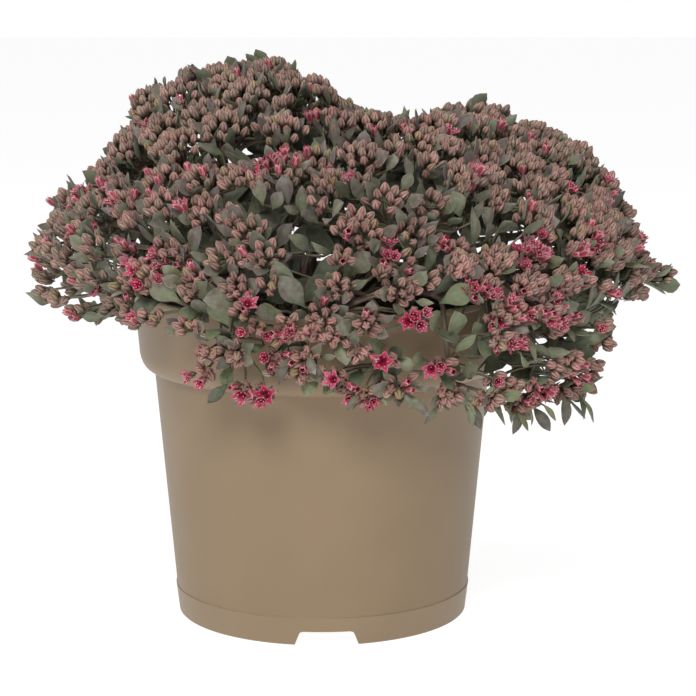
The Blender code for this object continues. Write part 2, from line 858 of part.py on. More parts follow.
def find_leaf(way, choices, placed, chance):
    """A leaf from one of the stems to the gap, tried at several lengths and turns, or None."""
    bend = chance.uniform(0.2, 1.1)
    width = LEAF_WIDTH * chance.uniform(0.85, 1.1)
    turn = chance.uniform(0, math.tau)
    tip = mound_point(way, chance.uniform(-4, 5) * MM)
    low = min(0.0, way.z) * 30 * MM
    for owner, route in choices:
        for share in (0.93, 0.82, 0.70, 0.58):
            root = point_on(route, share)
            length = (tip - root).length + low
            if not LEAF_REACH[0] < length < LEAF_REACH[1]:
                continue
            for k in range(4):
                place = leaf_matrix(root, tip, turn + k * math.pi / 2)
                wide = leaf_mesh(length + LEAF_CLEARANCE, width + 2 * LEAF_CLEARANCE,
                                 LEAF_THICKNESS + 2 * LEAF_CLEARANCE,
                                 LEAF_STALK + LEAF_CLEARANCE, bend)
                wide.transform(place)
                if is_clear(wide, placed, owner):
                    placed.append(placed_from(wide, -2))
                    wide.free()
                    leaf = leaf_mesh(length, width, LEAF_THICKNESS, LEAF_STALK, bend)
                    leaf.transform(place)
                    return owner, leaf
                wide.free()
    return None


def is_sound(obj):
    """Whether every edge of the object joins exactly two faces."""
    bm = surface_of(obj)
    sound = all(len(edge.link_faces) == 2 for edge in bm.edges)
    bm.free()
    return sound


def make_clump(number, crown, routes, leaves, finish):
    """One clump: its crown in the compost, its stems and their leaves, in one body.

    Stems that happen to fuse badly are turned a little about their own length and fused again.
    """
    name = f"clump_{number + 1:02d}"
    for turn in range(CLUMP_TRIES):
        bm = prism(CROWN_RADIUS, CROWN_SIDES, SOIL_TOP - CROWN_DEPTH, SOIL_TOP + 5 * MM, crown)
        clump = add_object(name, bm, finish)
        others = [stem_object(route, k + 0.3 * turn) for k, route in enumerate(routes)]
        others += [add_object("leaf", leaf.copy()) for leaf in leaves]
        combine(clump, others, "UNION", "MANIFOLD")
        if is_sound(clump):
            break
        bpy.data.objects.remove(clump)
    for leaf in leaves:
        leaf.free()
    shade_round(clump, 40)


def flower_mesh(base, way, chance):
    """An open flower: a five-petalled star, cupped, on a short stalk sunk in the head."""
    bm = bmesh.new()
    rim = []
    spin = chance.uniform(0, math.tau)
    for k in range(10):
        angle = spin + k * math.tau / 10
        span = FLOWER_SPAN if k % 2 == 0 else 0.36 * FLOWER_SPAN
        lift = 2.0 * MM if k % 2 == 0 else 0.6 * MM
        rim.append(bm.verts.new((span * math.cos(angle), span * math.sin(angle), lift)))
    upper = bm.verts.new((0, 0, 0.9 * MM))
    lower = bm.verts.new((0, 0, -6.5 * MM))
    for a, b in zip(rim, rim[1:] + rim[:1]):
        bm.faces.new((a, b, upper))
        bm.faces.new((b, a, lower))
    bmesh.ops.recalc_face_normals(bm, faces=bm.faces)
    placed = way.to_track_quat("Z", "Y").to_matrix().to_4x4()
    placed.translation = base
    bm.transform(placed)
    return bm


def flower_count(head, chance):
    """How many open flowers a head has: more on the front and on the lower heads."""
    likely = 2.1 - 1.3 * head.way.y - 1.5 * head.way.z
    return max(0, min(4, round(likely + chance.uniform(-0.6, 0.6))))


def make_head(number, heads, finish):
    """One flower head with its buds and its open flowers."""
    chance = random.Random(SEED * 100 + number)
    head = heads[number]
    bm = head_mesh(heads, number, chance)
    obj = add_object(f"head_{number + 1:02d}", bm, finish)
    size = (mound_point(head.way, 0) - MOUND_CENTRE).length
    outline = cell_outline(heads, number, CELL_GAP)
    spots = lattice(outline, 2.2 * FLOWER_SPAN / size, 0.4 * FLOWER_SPAN / size, chance)
    chance.shuffle(spots)
    flowers = []
    for spot in spots[:flower_count(head, chance)]:
        way = direction(head.way, spot)
        base = mound_point(way, 1.0 * MM - head.out)
        outward = (base - mound_point(way, 30 * MM)).normalized()
        flowers.append(add_object("flower", flower_mesh(base, outward, chance)))
    if flowers:
        combine(obj, flowers, "UNION", "MANIFOLD")
    return obj


def main():
    clear_scene()
    taupe = material("moulded_polypropylene", (0.29, 0.22, 0.155), 0.45)
    compost = material("peat_compost", (0.02, 0.014, 0.01), 0.95)
    foliage = material("waxy_leaf", (0.13, 0.17, 0.12), 0.55)
    blossom = material("stonecrop_buds", (0.42, 0.16, 0.17), 0.6)
    crowns = crown_places()
    heads = plan_heads()
    routes = [stem_route(crowns[sector_of(head)], head, i) for i, head in enumerate(heads)]
    make_pot(taupe)
    make_soil(crowns, compost)
    bm = surface_of(bpy.data.objects["pot"])
    placed = [placed_from(bm, -1)]
    bm.free()
    for i in range(len(heads)):
        bm = surface_of(make_head(i, heads, blossom))
        placed.append(placed_from(bm, -1))
        bm.free()
    for i, route in enumerate(routes):
        stem = stem_object(route, 0)
        bm = surface_of(stem)
        placed.append(placed_from(bm, i))
        bm.free()
        bpy.data.objects.remove(stem)
    leaves = grow_leaves(heads, routes, placed)
    for k, crown in enumerate(crowns):
        mine = [i for i, head in enumerate(heads) if sector_of(head) == k]
        own_leaves = [leaf for i in mine for leaf in leaves[i]]
        make_clump(k, crown, [routes[i] for i in mine], own_leaves, foliage)


main()
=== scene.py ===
"""A low mounding stonecrop in bud and first flower, in its round nursery pot.

Metres, +Z up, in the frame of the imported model. The heads, stems and gaps of the plant follow the
same plan as the solids: a mound form, heads that share out its surface, and stems from crowns in
the compost. Each finer piece stands for the solids whose place it takes.
"""

import json
import logging
import math
import random
from dataclasses import dataclass, field, replace
from enum import Enum
from typing import Callable, Iterable, NamedTuple

import bmesh
import bpy
import numpy as np
from mathutils import Matrix, Vector, noise
from mathutils.bvhtree import BVHTree

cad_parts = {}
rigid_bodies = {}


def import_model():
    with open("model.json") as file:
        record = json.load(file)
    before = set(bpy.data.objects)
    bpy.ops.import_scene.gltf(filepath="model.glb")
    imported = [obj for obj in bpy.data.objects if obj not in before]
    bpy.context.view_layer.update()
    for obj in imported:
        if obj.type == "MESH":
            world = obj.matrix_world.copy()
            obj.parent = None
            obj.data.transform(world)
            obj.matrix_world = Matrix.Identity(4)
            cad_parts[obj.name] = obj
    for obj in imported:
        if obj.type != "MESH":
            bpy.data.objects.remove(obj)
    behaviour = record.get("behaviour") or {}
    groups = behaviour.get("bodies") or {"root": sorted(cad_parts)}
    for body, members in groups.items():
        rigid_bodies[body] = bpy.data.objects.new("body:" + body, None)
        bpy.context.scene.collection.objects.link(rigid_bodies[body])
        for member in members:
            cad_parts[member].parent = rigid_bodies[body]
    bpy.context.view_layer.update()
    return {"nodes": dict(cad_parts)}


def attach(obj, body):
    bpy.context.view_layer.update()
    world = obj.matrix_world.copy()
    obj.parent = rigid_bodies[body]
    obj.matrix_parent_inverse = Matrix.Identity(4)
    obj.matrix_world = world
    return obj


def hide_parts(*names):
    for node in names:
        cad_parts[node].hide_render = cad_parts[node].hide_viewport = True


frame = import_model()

log = logging.getLogger("stonecrop")

MM = 0.001
UP = Vector((0, 0, 1))
SEED = 27
GOLDEN_ANGLE = math.radians(137.508)
# How far apart the rows of a triangular grid are, as a share of its spacing
ROW = 0.87
RIM_RADIUS = 95.0 * MM
POT_HEIGHT = 165.0 * MM
SOIL_TOP = 150.0 * MM
BUD_LENGTH = 5.9 * MM
ORGAN = "organ"


# ---------------------------------------------------------------- helpers


def linear(code: str) -> tuple[float, float, float, float]:
    """Turns an sRGB hex colour to linear light.

    Args:
        code: Six hex digits, with or without a leading hash.

    Returns:
        Linear red, green, blue and an alpha of one.
    """
    code = code.lstrip("#")
    shares = [int(code[k : k + 2], 16) / 255 for k in (0, 2, 4)]
    return (*(s / 12.92 if s <= 0.04045 else ((s + 0.055) / 1.055) ** 2.4 for s in shares), 1.0)


def feed(node: bpy.types.Node, inputs: dict) -> None:
    """Feeds a node's inputs.

    Args:
        node: The node.
        inputs: For an input's name or number, a socket, a plain value or a colour's hex code.
    """
    for name, source in inputs.items():
        if isinstance(source, bpy.types.NodeSocket):
            node.id_data.links.new(source, node.inputs[name])
        else:
            plain = linear(source) if isinstance(source, str) else source
            node.inputs[name].default_value = plain


def add_node(tree: bpy.types.NodeTree, kind: str, inputs: dict | None = None,
             **settings) -> bpy.types.Node:
    """Adds a node with its settings and its inputs.

    Args:
        tree: The node tree that takes the node.
        kind: The node's type name.
        inputs: What feeds its inputs.
        **settings: The node's own properties.

    Returns:
        The new node.
    """
    node = tree.nodes.new(kind)
    for name, value in settings.items():
        setattr(node, name, value)
    feed(node, inputs or {})
    return node


def clamp(value: float, low: float = 0.0, high: float = 1.0) -> float:
    """Holds a value between two limits."""
    return max(low, min(high, value))


def table(shares: tuple[float, ...], share: float) -> float:
    """Reads evenly spaced values at a share from 0 to 1, with straight runs between them."""
    place = clamp(share) * (len(shares) - 1)
    k = min(int(place), len(shares) - 2)
    return shares[k] + (shares[k + 1] - shares[k]) * (place - k)


def round_z(radius: float, angle: float, height: float) -> Vector:
    """Gives the point at a radius and an angle round the Z axis, at a height."""
    return Vector((radius * math.cos(angle), radius * math.sin(angle), height))


def heading(angle: float) -> Vector:
    """Gives the flat direction at an angle."""
    return Vector((math.cos(angle), math.sin(angle)))


def scatter(chance: random.Random, most: float) -> Vector:
    """Gives a vector with a random value, up to a limit, along each axis."""
    return Vector([chance.uniform(-1, 1) for _ in range(3)]) * most


def ramp(value: float, start: float, end: float) -> float:
    """Gives how far a value has run from start (0) to end (1), held between them."""
    return clamp((value - start) / (end - start))


def mesh_of(bm: bmesh.types.BMesh, name: str) -> bpy.types.Mesh:
    """Writes a bmesh to a new mesh and frees it."""
    mesh = bpy.data.meshes.new(name)
    bm.to_mesh(mesh)
    bm.free()
    return mesh


def turned(points: Iterable[tuple[float, float]], steps: int) -> bmesh.types.BMesh:
    """Spins a line of radii and heights round the Z axis into a closed surface."""
    bm = bmesh.new()
    line = [bm.verts.new((radius, 0, height)) for radius, height in points]
    for a, b in zip(line, line[1:]):
        bm.edges.new((a, b))
    bmesh.ops.spin(bm, geom=bm.verts[:] + bm.edges[:], cent=(0, 0, 0), axis=(0, 0, 1),
                   angle=math.tau, steps=steps, use_merge=True)
    bmesh.ops.remove_doubles(bm, verts=bm.verts, dist=0.001 * MM)
    bmesh.ops.recalc_face_normals(bm, faces=bm.faces)
    return bm


def evaluated(obj: bpy.types.Object, name: str) -> bpy.types.Mesh:
    """Gives an object's mesh with its modifiers or its bevel applied, and removes the object."""
    graph = bpy.context.evaluated_depsgraph_get()
    mesh = bpy.data.meshes.new_from_object(obj.evaluated_get(graph))
    mesh.name = name
    bpy.data.objects.remove(obj)
    return mesh


def linked(name: str, data: bpy.types.ID) -> bpy.types.Object:
    """Adds an object that holds the data to the scene."""
    obj = bpy.data.objects.new(name, data)
    bpy.context.scene.collection.objects.link(obj)
    return obj


def add_piece(
    name: str,
    mesh: bpy.types.Mesh,
    finish: bpy.types.Material,
    stands_for: Iterable[str] = (),
    crease: float = 60.0,
) -> bpy.types.Object:
    """Adds a finished piece, which rides on the one body.

    Args:
        name: The piece's name.
        mesh: Its mesh, in place.
        finish: Its material.
        stands_for: The solids whose place it takes.
        crease: Edges sharper than this many degrees stay sharp.

    Returns:
        The piece's object.
    """
    mesh.materials.clear()
    mesh.materials.append(finish)
    mesh.shade_smooth()
    mesh.set_sharp_from_angle(angle=math.radians(crease))
    piece = linked(name, mesh)
    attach(piece, "root")
    if stands_for:
        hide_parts(*stands_for)
    triangles = sum(len(face.vertices) - 2 for face in mesh.polygons)
    log.info("%s: %d triangles", name, triangles)
    return piece


# ---------------------------------------------------------------- the plan of the mound


class Swell(NamedTuple):
    """A place where the mound stands higher, or lower where lift is negative."""

    x: float
    y: float
    lift: float
    spread: float


class Head(NamedTuple):
    """A flower head: its direction from the mound's middle, half width, depth and reach."""

    way: Vector
    limit: float
    depth: float
    trailing: bool
    out: float


class Quarter(Enum):
    """The quarters of the mound; each is three of the twelve clumps of stems."""

    FRONT_LEFT = 0
    FRONT_RIGHT = 1
    BACK_RIGHT = 2
    BACK_LEFT = 3


@dataclass
class MoundPlan:
    """Where the mound's surface, heads, crowns and stems are; the sizes are the solids' own."""

    centre: Vector = field(default_factory=lambda: Vector((8.0, 4.0, 165.0)) * MM)
    right: float = 160.0 * MM
    left: float = 156.0 * MM
    front: float = 124.0 * MM
    back: float = 126.0 * MM
    rise: float = 104.0 * MM
    drop: float = 110.0 * MM
    mound_heads: int = 29
    lowest: float = 0.04
    spiral_turn: float = math.radians(20.0)
    rim_radius: float = RIM_RADIUS
    rim_height: float = POT_HEIGHT
    soil_top: float = SOIL_TOP
    clumps: int = 12
    crown_rings: tuple[float, float] = (22.0 * MM, 44.0 * MM)
    over_rim: float = 7.0 * MM
    head_depth: float = 24.0 * MM
    trail_depth: float = 15.0 * MM
    cell_gap: float = 2.0 * MM
    cell_limit: float = 36.0 * MM
    neighbour: float = 0.3
    larger_gains: float = 0.12
    bud_spacing: float = 9.2 * MM
    lump_spacing: float = 20.0 * MM
    swells: tuple[Swell, ...] = (
        Swell(-46 * MM, 10 * MM, 17 * MM, 34 * MM),
        Swell(-92 * MM, 5 * MM, 16 * MM, 18 * MM),
        Swell(80 * MM, 0 * MM, 4 * MM, 26 * MM),
        Swell(29 * MM, -5 * MM, -26 * MM, 20 * MM),
        Swell(18 * MM, 40 * MM, -10 * MM, 26 * MM),
        Swell(130 * MM, 0 * MM, 7 * MM, 20 * MM),
        Swell(-112 * MM, 0 * MM, -5 * MM, 24 * MM),
    )
    trails: tuple[tuple[int, int, int, int], ...] = (
        (-152, 164, 15, 0),
        (-119, 159, 11, 0),
        (-112, 147, 14, 0),
        (-99, 151, 12, 0),
        (-82, 135, 13, 0),
        (-65, 125, 15, 0),
        (-49, 121, 15, 0),
        (-34, 121, 18, 0),
        (-23, 140, 16, 0),
        (2, 171, 11, 15),
        (20, 144, 18, 0),
        (48, 142, 18, 0),
        (74, 141, 18, 0),
        (100, 140, 18, 0),
        (126, 143, 18, 0),
        (152, 148, 18, 0),
        (178, 163, 15, 0),
    )

    def __post_init__(self) -> None:
        """Plans the heads, the crowns and the line of every stem."""
        self.heads = self.plan_heads()
        self.crowns = self.crown_places()
        self.routes = [self.stem_route(head, i) for i, head in enumerate(self.heads)]

    def swell_at(self, x: float, y: float) -> float:
        """Gives how far the mound stands above its plain form at a point."""
        return sum(
            s.lift * math.exp(-((x - s.x) ** 2 + (y - s.y) ** 2) / (2 * s.spread**2))
            for s in self.swells
        )

    def point(self, way: Vector, below: float) -> Vector:
        """Gives the point at a distance below the mound's surface.

        Args:
            way: The direction from the mound's middle.
            below: How far below the surface, along that direction.

        Returns:
            The point, in metres.
        """
        half_x = self.right if way.x > 0 else self.left
        half_y = self.back if way.y > 0 else self.front
        half_z = self.rise if way.z > 0 else self.drop
        out = Vector((way.x * half_x, way.y * half_y, way.z * half_z))
        out.z += self.swell_at(out.x, out.y) * clamp(4 * way.z)
        return self.centre + out * (1 - below / out.length)

    def plan_heads(self) -> list[Head]:
        """Spreads heads over the mound by the golden angle, and hangs others over the rim."""
        heads = []
        for i in range(self.mound_heads):
            rise = 1 - (1 - self.lowest) * (i + 0.5) / self.mound_heads
            way = round_z(math.sqrt(1 - rise * rise), i * GOLDEN_ANGLE + self.spiral_turn, rise)
            depth = self.head_depth if rise > 0.4 else self.trail_depth + 4 * MM
            heads.append(Head(way, self.cell_limit, depth, False, 0))
        for azimuth, height, half_width, past in self.trails:
            rise = (height * MM - self.centre.z) / self.drop
            way = round_z(math.sqrt(1 - rise * rise), math.radians(azimuth), rise)
            hangs = height * MM < self.rim_height
            heads.append(Head(way, half_width * MM, self.trail_depth, hangs, past * MM))
        return heads

    def size_of(self, head: Head) -> float:
        """Gives the distance from the mound's middle to its surface at a head."""
        return (self.point(head.way, 0) - self.centre).length

    @staticmethod
    def axes(way: Vector) -> tuple[Vector, Vector]:
        """Gives two directions across a direction: the first level, the second rising."""
        level = Vector((-way.y, way.x, 0)).normalized()
        return level, way.cross(level).normalized()

    def direction(self, way: Vector, spot: Vector) -> Vector:
        """Gives the direction that a spot in the plane across way stands for."""
        level, rising = self.axes(way)
        return (way + level * spot.x + rising * spot.y).normalized()

    def cell(self, i: int, gap: float) -> list[Vector]:
        """Gives the share of the mound that is nearest to a head.

        Args:
            i: The head's number.
            gap: How far the outline stays back from its neighbours'.

        Returns:
            The outline, as spots in the plane across the head's direction.
        """
        way = self.heads[i].way
        level, rising = self.axes(way)
        size = self.size_of(self.heads[i])
        reach = self.heads[i].limit / size
        outline = [round_z(reach, k * math.tau / 12, 0).to_2d() for k in range(12)]
        for j, other in enumerate(self.heads):
            if j == i or way.dot(other.way) < self.neighbour:
                continue
            # The larger of two heads takes a little more of the room between them
            weight = 0.5
            if self.heads[i].limit > other.limit:
                weight += self.larger_gains * (1 - other.limit / self.heads[i].limit)
            elif other.limit > self.heads[i].limit:
                weight -= self.larger_gains * (1 - self.heads[i].limit / other.limit)
            apart = way - other.way
            middle = way.lerp(other.way, weight)
            plane = apart - middle * (apart.dot(middle) / middle.length_squared)
            normal = Vector((plane.dot(level), plane.dot(rising)))
            steep = normal.length
            if steep > 1e-6:
                offset = plane.dot(way) / steep - gap / size
                outline = self.cut(outline, normal / steep, offset)
        return outline

    @staticmethod
    def cut(outline: list[Vector], normal: Vector, offset: float) -> list[Vector]:
        """Keeps the part of a convex outline where normal . spot + offset is not negative."""
        kept = []
        for a, b in zip(outline, outline[1:] + outline[:1]):
            side_a = normal.dot(a) + offset
            side_b = normal.dot(b) + offset
            if side_a >= 0:
                kept.append(a)
            if (side_a >= 0) != (side_b >= 0):
                kept.append(a.lerp(b, side_a / (side_a - side_b)))
        return kept

    @staticmethod
    def inside(outline: list[Vector], spot: Vector, margin: float) -> bool:
        """Tells whether a spot lies in a convex outline, at least margin from its edge."""
        for a, b in zip(outline, outline[1:] + outline[:1]):
            edge = (b - a).normalized()
            if edge.x * (spot.y - a.y) - edge.y * (spot.x - a.x) < margin:
                return False
        return True

    def lumps(self, i: int) -> list[Vector]:
        """Gives the middles of a head's cymes, as spots across its direction."""
        chance = random.Random(SEED * 100 + i)
        size = self.size_of(self.heads[i])
        outline = self.cell(i, self.cell_gap)
        spacing = self.lump_spacing / size
        margin = 0.45 * self.bud_spacing / size
        rows = math.ceil(max(spot.length for spot in outline) / (spacing * ROW)) + 1
        shift = Vector((chance.uniform(-0.5, 0.5), chance.uniform(-0.5, 0.5))) * spacing
        spots = []
        for row in range(-rows, rows + 1):
            for column in range(-rows, rows + 1):
                spot = Vector((column + 0.5 * (row % 2), row * ROW)) * spacing + shift
                jitter = Vector((chance.uniform(-0.12, 0.12), chance.uniform(-0.12, 0.12)))
                spot += jitter * spacing
                if self.inside(outline, spot, margin):
                    spots.append(spot)
        return spots or [Vector((0, 0))]

    def head_foot(self, head: Head) -> Vector:
        """Gives where a head joins its stem: under its middle, or at the rim if it hangs."""
        place = self.point(head.way, head.depth - head.out)
        if not head.trailing:
            return place
        flat = Vector((place.x, place.y, 0)).normalized()
        rise = min(self.point(head.way, 0).z + 8 * MM, self.rim_height + 1 * MM)
        return flat * (self.rim_radius + 9 * MM) + UP * rise

    def stem_foot(self, head: Head) -> tuple[Vector, Vector]:
        """Gives the end of a head's stem, and the direction that it arrives in."""
        place = self.head_foot(head)
        if head.trailing:
            flat = Vector((place.x, place.y, 0)).normalized()
            along = (flat * 0.75 - UP * 0.66).normalized()
        else:
            along = (place - self.centre).normalized()
            if head.way.z < 0.35:
                along = (along + UP * 0.15).normalized()
        return place - along * 0.9 * MM, along

    def sector_of(self, head: Head) -> int:
        """Gives the number of the clump that a head's stem grows in."""
        angle = math.atan2(head.way.y, head.way.x)
        return int((angle + math.pi) / math.tau * self.clumps) % self.clumps

    def quarter_of(self, head: Head) -> Quarter:
        """Gives the quarter of the mound that a head belongs to."""
        return Quarter(self.sector_of(head) * len(Quarter) // self.clumps)

    def crown_places(self) -> list[Vector]:
        """Gives where each clump's crown stands in the compost."""
        crowns = []
        for k in range(self.clumps):
            angle = (k + 0.5) * math.tau / self.clumps - math.pi
            crowns.append(round_z(self.crown_rings[k % 2], angle, self.soil_top))
        return crowns

    def stem_route(self, head: Head, number: int) -> list[Vector]:
        """Gives a stem's line: up from its crown, over the rim if it must, to its head."""
        crown = self.crowns[self.sector_of(head)]
        end, along = self.stem_foot(head)
        outward = Vector((end.x, end.y, 0)).normalized()
        start = crown + UP * 2.0 * MM + heading(number * GOLDEN_ANGLE).to_3d() * 2.3 * MM
        run = (end - start).length
        if end.z < self.rim_height + self.over_rim + 8 * MM:
            over = outward * (self.rim_radius - 6 * MM) + UP * (self.rim_height + self.over_rim)
            inner = bezier(start, start + UP * 0.4 * run, over - outward * 0.3 * run, over, 8)
            rest = outward * (self.rim_radius + 2 * MM)
            rest += UP * (self.rim_height + 0.8 * self.over_rim)
            return inner + bezier(rest, rest.lerp(end, 0.4), rest.lerp(end, 0.8), end, 3)
        lift = UP * (0.30 if head.way.z > 0.4 else 0.42) * run
        return bezier(start, start + lift, end - along * 0.42 * run, end, 9)


def bezier(start: Vector, leave: Vector, arrive: Vector, end: Vector, count: int) -> list[Vector]:
    """Gives points along a cubic curve.

    Args:
        start: Its first point.
        leave: The handle it leaves towards.
        arrive: The handle it arrives from.
        end: Its last point.
        count: How many points.

    Returns:
        The points, ends included.
    """
    points = []
    for k in range(count):
        t = k / (count - 1)
        s = 1 - t
        points.append(start * s**3 + leave * 3 * s * s * t + arrive * 3 * s * t * t + end * t**3)
    return points


def point_on(route: list[Vector], share: float) -> Vector:
    """Gives the point at a share of a line's length."""
    steps = [(b - a).length for a, b in zip(route, route[1:])]
    left = share * sum(steps)
    for a, b, step in zip(route, route[1:], steps):
        if left <= step:
            return a.lerp(b, left / step)
        left -= step
    return route[-1]


def nearest_on(route: list[Vector], place: Vector) -> Vector:
    """Gives the nearest of nine points on the outer two thirds of a line."""
    points = (point_on(route, k / 12) for k in range(4, 13))
    return min(points, key=lambda point: (point - place).length)


# ---------------------------------------------------------------- finishes


@dataclass(frozen=True)
class Finish:
    """What every finish has: a name, its roughness and its index of refraction."""

    name: str
    roughness: float
    ior: float = 1.45


class Layer(NamedTuple):
    """A colour over those below it: none where its value is at start, most where it is at end."""

    value: bpy.types.NodeSocket
    colour: str | bpy.types.NodeSocket
    start: float = 0.0
    end: float = 1.0
    most: float = 1.0


class Coat:
    """A material while it is made, with its tree, its shader and its object coordinates."""

    def __init__(self, finish: Finish) -> None:
        """Starts the material with its plain values set."""
        self.made = bpy.data.materials.new(finish.name)
        self.made.use_nodes = True
        self.tree = self.made.node_tree
        self.shader = self.tree.nodes["Principled BSDF"]
        feed(self.shader, {"Roughness": finish.roughness, "IOR": finish.ior})
        self.place = add_node(self.tree, "ShaderNodeTexCoord").outputs["Object"]

    def marks(self) -> list[bpy.types.NodeSocket]:
        """Gives the four values of the organ attribute."""
        organ = add_node(self.tree, "ShaderNodeAttribute", attribute_name=ORGAN)
        parts = add_node(self.tree, "ShaderNodeSeparateColor", {"Color": organ.outputs["Color"]})
        return [*parts.outputs, organ.outputs["Alpha"]]

    def cover(self, base: str | bpy.types.NodeSocket, *layers: Layer) -> bpy.types.NodeSocket:
        """Lays colours over a base.

        Args:
            base: The colour underneath.
            *layers: The colours over it, the lowest first.

        Returns:
            The colour that shows.
        """
        for value, colour, start, end, most in layers:
            share = add_node(self.tree, "ShaderNodeMapRange", {
                "Value": value, "From Min": start, "From Max": end, "To Max": most})
            mixed = add_node(self.tree, "ShaderNodeMix", {
                0: share.outputs["Result"], 6: base, 7: colour}, data_type="RGBA")
            base = mixed.outputs[2]
        return base

    def vary(self, colour: bpy.types.NodeSocket, chance: bpy.types.NodeSocket,
             dark: float, light: float) -> bpy.types.NodeSocket:
        """Makes each copy of an organ darker or lighter by its chance value.

        Args:
            colour: The colour of all copies.
            chance: The copy's value from 0 to 1.
            dark: The lightness at 0.
            light: The lightness at 1.

        Returns:
            The copy's colour.
        """
        lightness = add_node(self.tree, "ShaderNodeMapRange", {
            "Value": chance, "To Min": dark, "To Max": light})
        varied = add_node(self.tree, "ShaderNodeHueSaturation", {
            "Color": colour, "Value": lightness.outputs["Result"]})
        return varied.outputs["Color"]

    def complete(self, colour: str | bpy.types.NodeSocket, height: bpy.types.NodeSocket,
                 strength: float, depth_mm: float) -> bpy.types.Material:
        """Gives the shader its colour and a bump.

        Args:
            colour: The colour.
            height: The bump's height.
            strength: The bump's strength.
            depth_mm: How deep the bump is.

        Returns:
            The finished material.
        """
        bump = add_node(self.tree, "ShaderNodeBump", {
            "Height": height, "Strength": strength, "Distance": depth_mm * MM})
        feed(self.shader, {"Base Color": colour, "Normal": bump.outputs["Normal"]})
        return self.made


@dataclass(frozen=True)
class MouldedPolypropylene(Finish):
    """Injection moulded polypropylene, matt taupe: even colour, soft broad highlights."""

    name: str = "moulded_polypropylene"
    roughness: float = 0.46
    ior: float = 1.49
    body: str = "#957F63"
    shade: str = "#917B60"
    bead_highlight_and_wear: str = "#B5A48E"
    grit_mm: float = 0.55
    cloud_mm: float = 38.0
    bead_highlight_from: float = POT_HEIGHT - 3.0 * MM
    bead_highlight_to: float = POT_HEIGHT

    def make(self) -> bpy.types.Material:
        """Builds the material: faint clouds in the colour, a fine grit, and a painted highlight and
        wear on the bead.
        """
        coat = Coat(self)
        cloud = add_node(coat.tree, "ShaderNodeTexNoise", {
            "Vector": coat.place, "Scale": 1000 / self.cloud_mm, "Detail": 2.0})
        height = add_node(coat.tree, "ShaderNodeSeparateXYZ", {"Vector": coat.place})
        # Clouds of flow in the moulding, and the rim bead's top 3 mm painted paler: a painted
        # highlight with scuffs from hands
        colour = coat.cover(
            self.shade,
            Layer(cloud.outputs["Fac"], self.body, 0.35, 0.65),
            Layer(height.outputs["Z"], self.bead_highlight_and_wear, self.bead_highlight_from, self.bead_highlight_to, 0.45))
        grit = add_node(coat.tree, "ShaderNodeTexNoise", {
            "Vector": coat.place, "Scale": 1000 / self.grit_mm, "Detail": 3.0})
        return coat.complete(colour, grit.outputs["Fac"], 0.10, 0.05)


@dataclass(frozen=True)
class PeatCompost(Finish):
    """Moist peat compost: nearly black crumbs with paler fibres, quite matt."""

    name: str = "peat_compost"
    roughness: float = 0.92
    dark: str = "#120C09"
    brown: str = "#33231A"
    fibre: str = "#6B5238"
    crumb_mm: float = 2.2
    fibre_mm: float = 1000 / 420

    def make(self) -> bpy.types.Material:
        """Builds the material: crumbs of two browns, and a few pale fibres."""
        coat = Coat(self)
        crumbs = add_node(coat.tree, "ShaderNodeTexVoronoi", {
            "Vector": coat.place, "Scale": 1000 / self.crumb_mm})
        fibres = add_node(coat.tree, "ShaderNodeTexNoise", {
            "Vector": coat.place, "Scale": 1000 / self.fibre_mm, "Detail": 4.0})
        colour = coat.cover(
            self.dark,
            Layer(crumbs.outputs["Color"], self.brown),
            Layer(fibres.outputs["Fac"], self.fibre, 0.64, 0.70))
        return coat.complete(colour, crumbs.outputs["Distance"], 0.7, 0.8)


@dataclass(frozen=True)
class BudSkin(Finish):
    """Waxy sepals and folded petals: dusty pink ribs, redder seams, grey-green at the foot.

    The organ attribute holds the place along the bud, the place across a rib, a chance value for
    each bud, and how far it has ripened.
    """

    name: str = "stonecrop_bud_skin"
    roughness: float = 0.58
    foot: str = "#5A5C46"
    unripe: str = "#9C8B78"
    ripe: str = "#C09488"
    late: str = "#8B8656"
    seam: str = "#5A2A32"
    seam_ripe: str = "#92263E"
    tip: str = "#7A4440"
    wax: str = "#B9AA9B"
    bloom_mm: float = 2.5

    def make(self) -> bpy.types.Material:
        """Builds the material from the marks on each bud."""
        coat = Coat(self)
        along, rib, chance, ripe = coat.marks()
        bloom = add_node(coat.tree, "ShaderNodeTexNoise", {
            "Vector": coat.place, "Scale": 1000 / self.bloom_mm, "Detail": 3.0})
        # About one bud in twenty is still yellow-green, and a waxy bloom lies over all in patches
        skin = coat.cover(
            self.unripe,
            Layer(ripe, self.ripe),
            Layer(chance, self.late, 0.92, 0.96, 0.75),
            Layer(bloom.outputs["Fac"], self.wax, 0.42, 0.72, 0.45))
        # The calyx climbs a little higher along each rib than in the seams
        climb = add_node(coat.tree, "ShaderNodeMath", {0: rib, 1: -0.16, 2: along},
                         operation="MULTIPLY_ADD")
        # The seams between the folded petals are dark lines, redder as the bud ripens
        seam = coat.cover(self.seam, Layer(ripe, self.seam_ripe))
        colour = coat.cover(
            self.foot,
            Layer(climb.outputs[0], skin, 0.05, 0.44),
            Layer(rib, seam, 0.40, 0.10, 0.85),
            Layer(along, self.tip, 0.80, 1.0, 0.4))
        return coat.complete(coat.vary(colour, chance, 0.60, 1.10), rib, 0.6, 0.45)


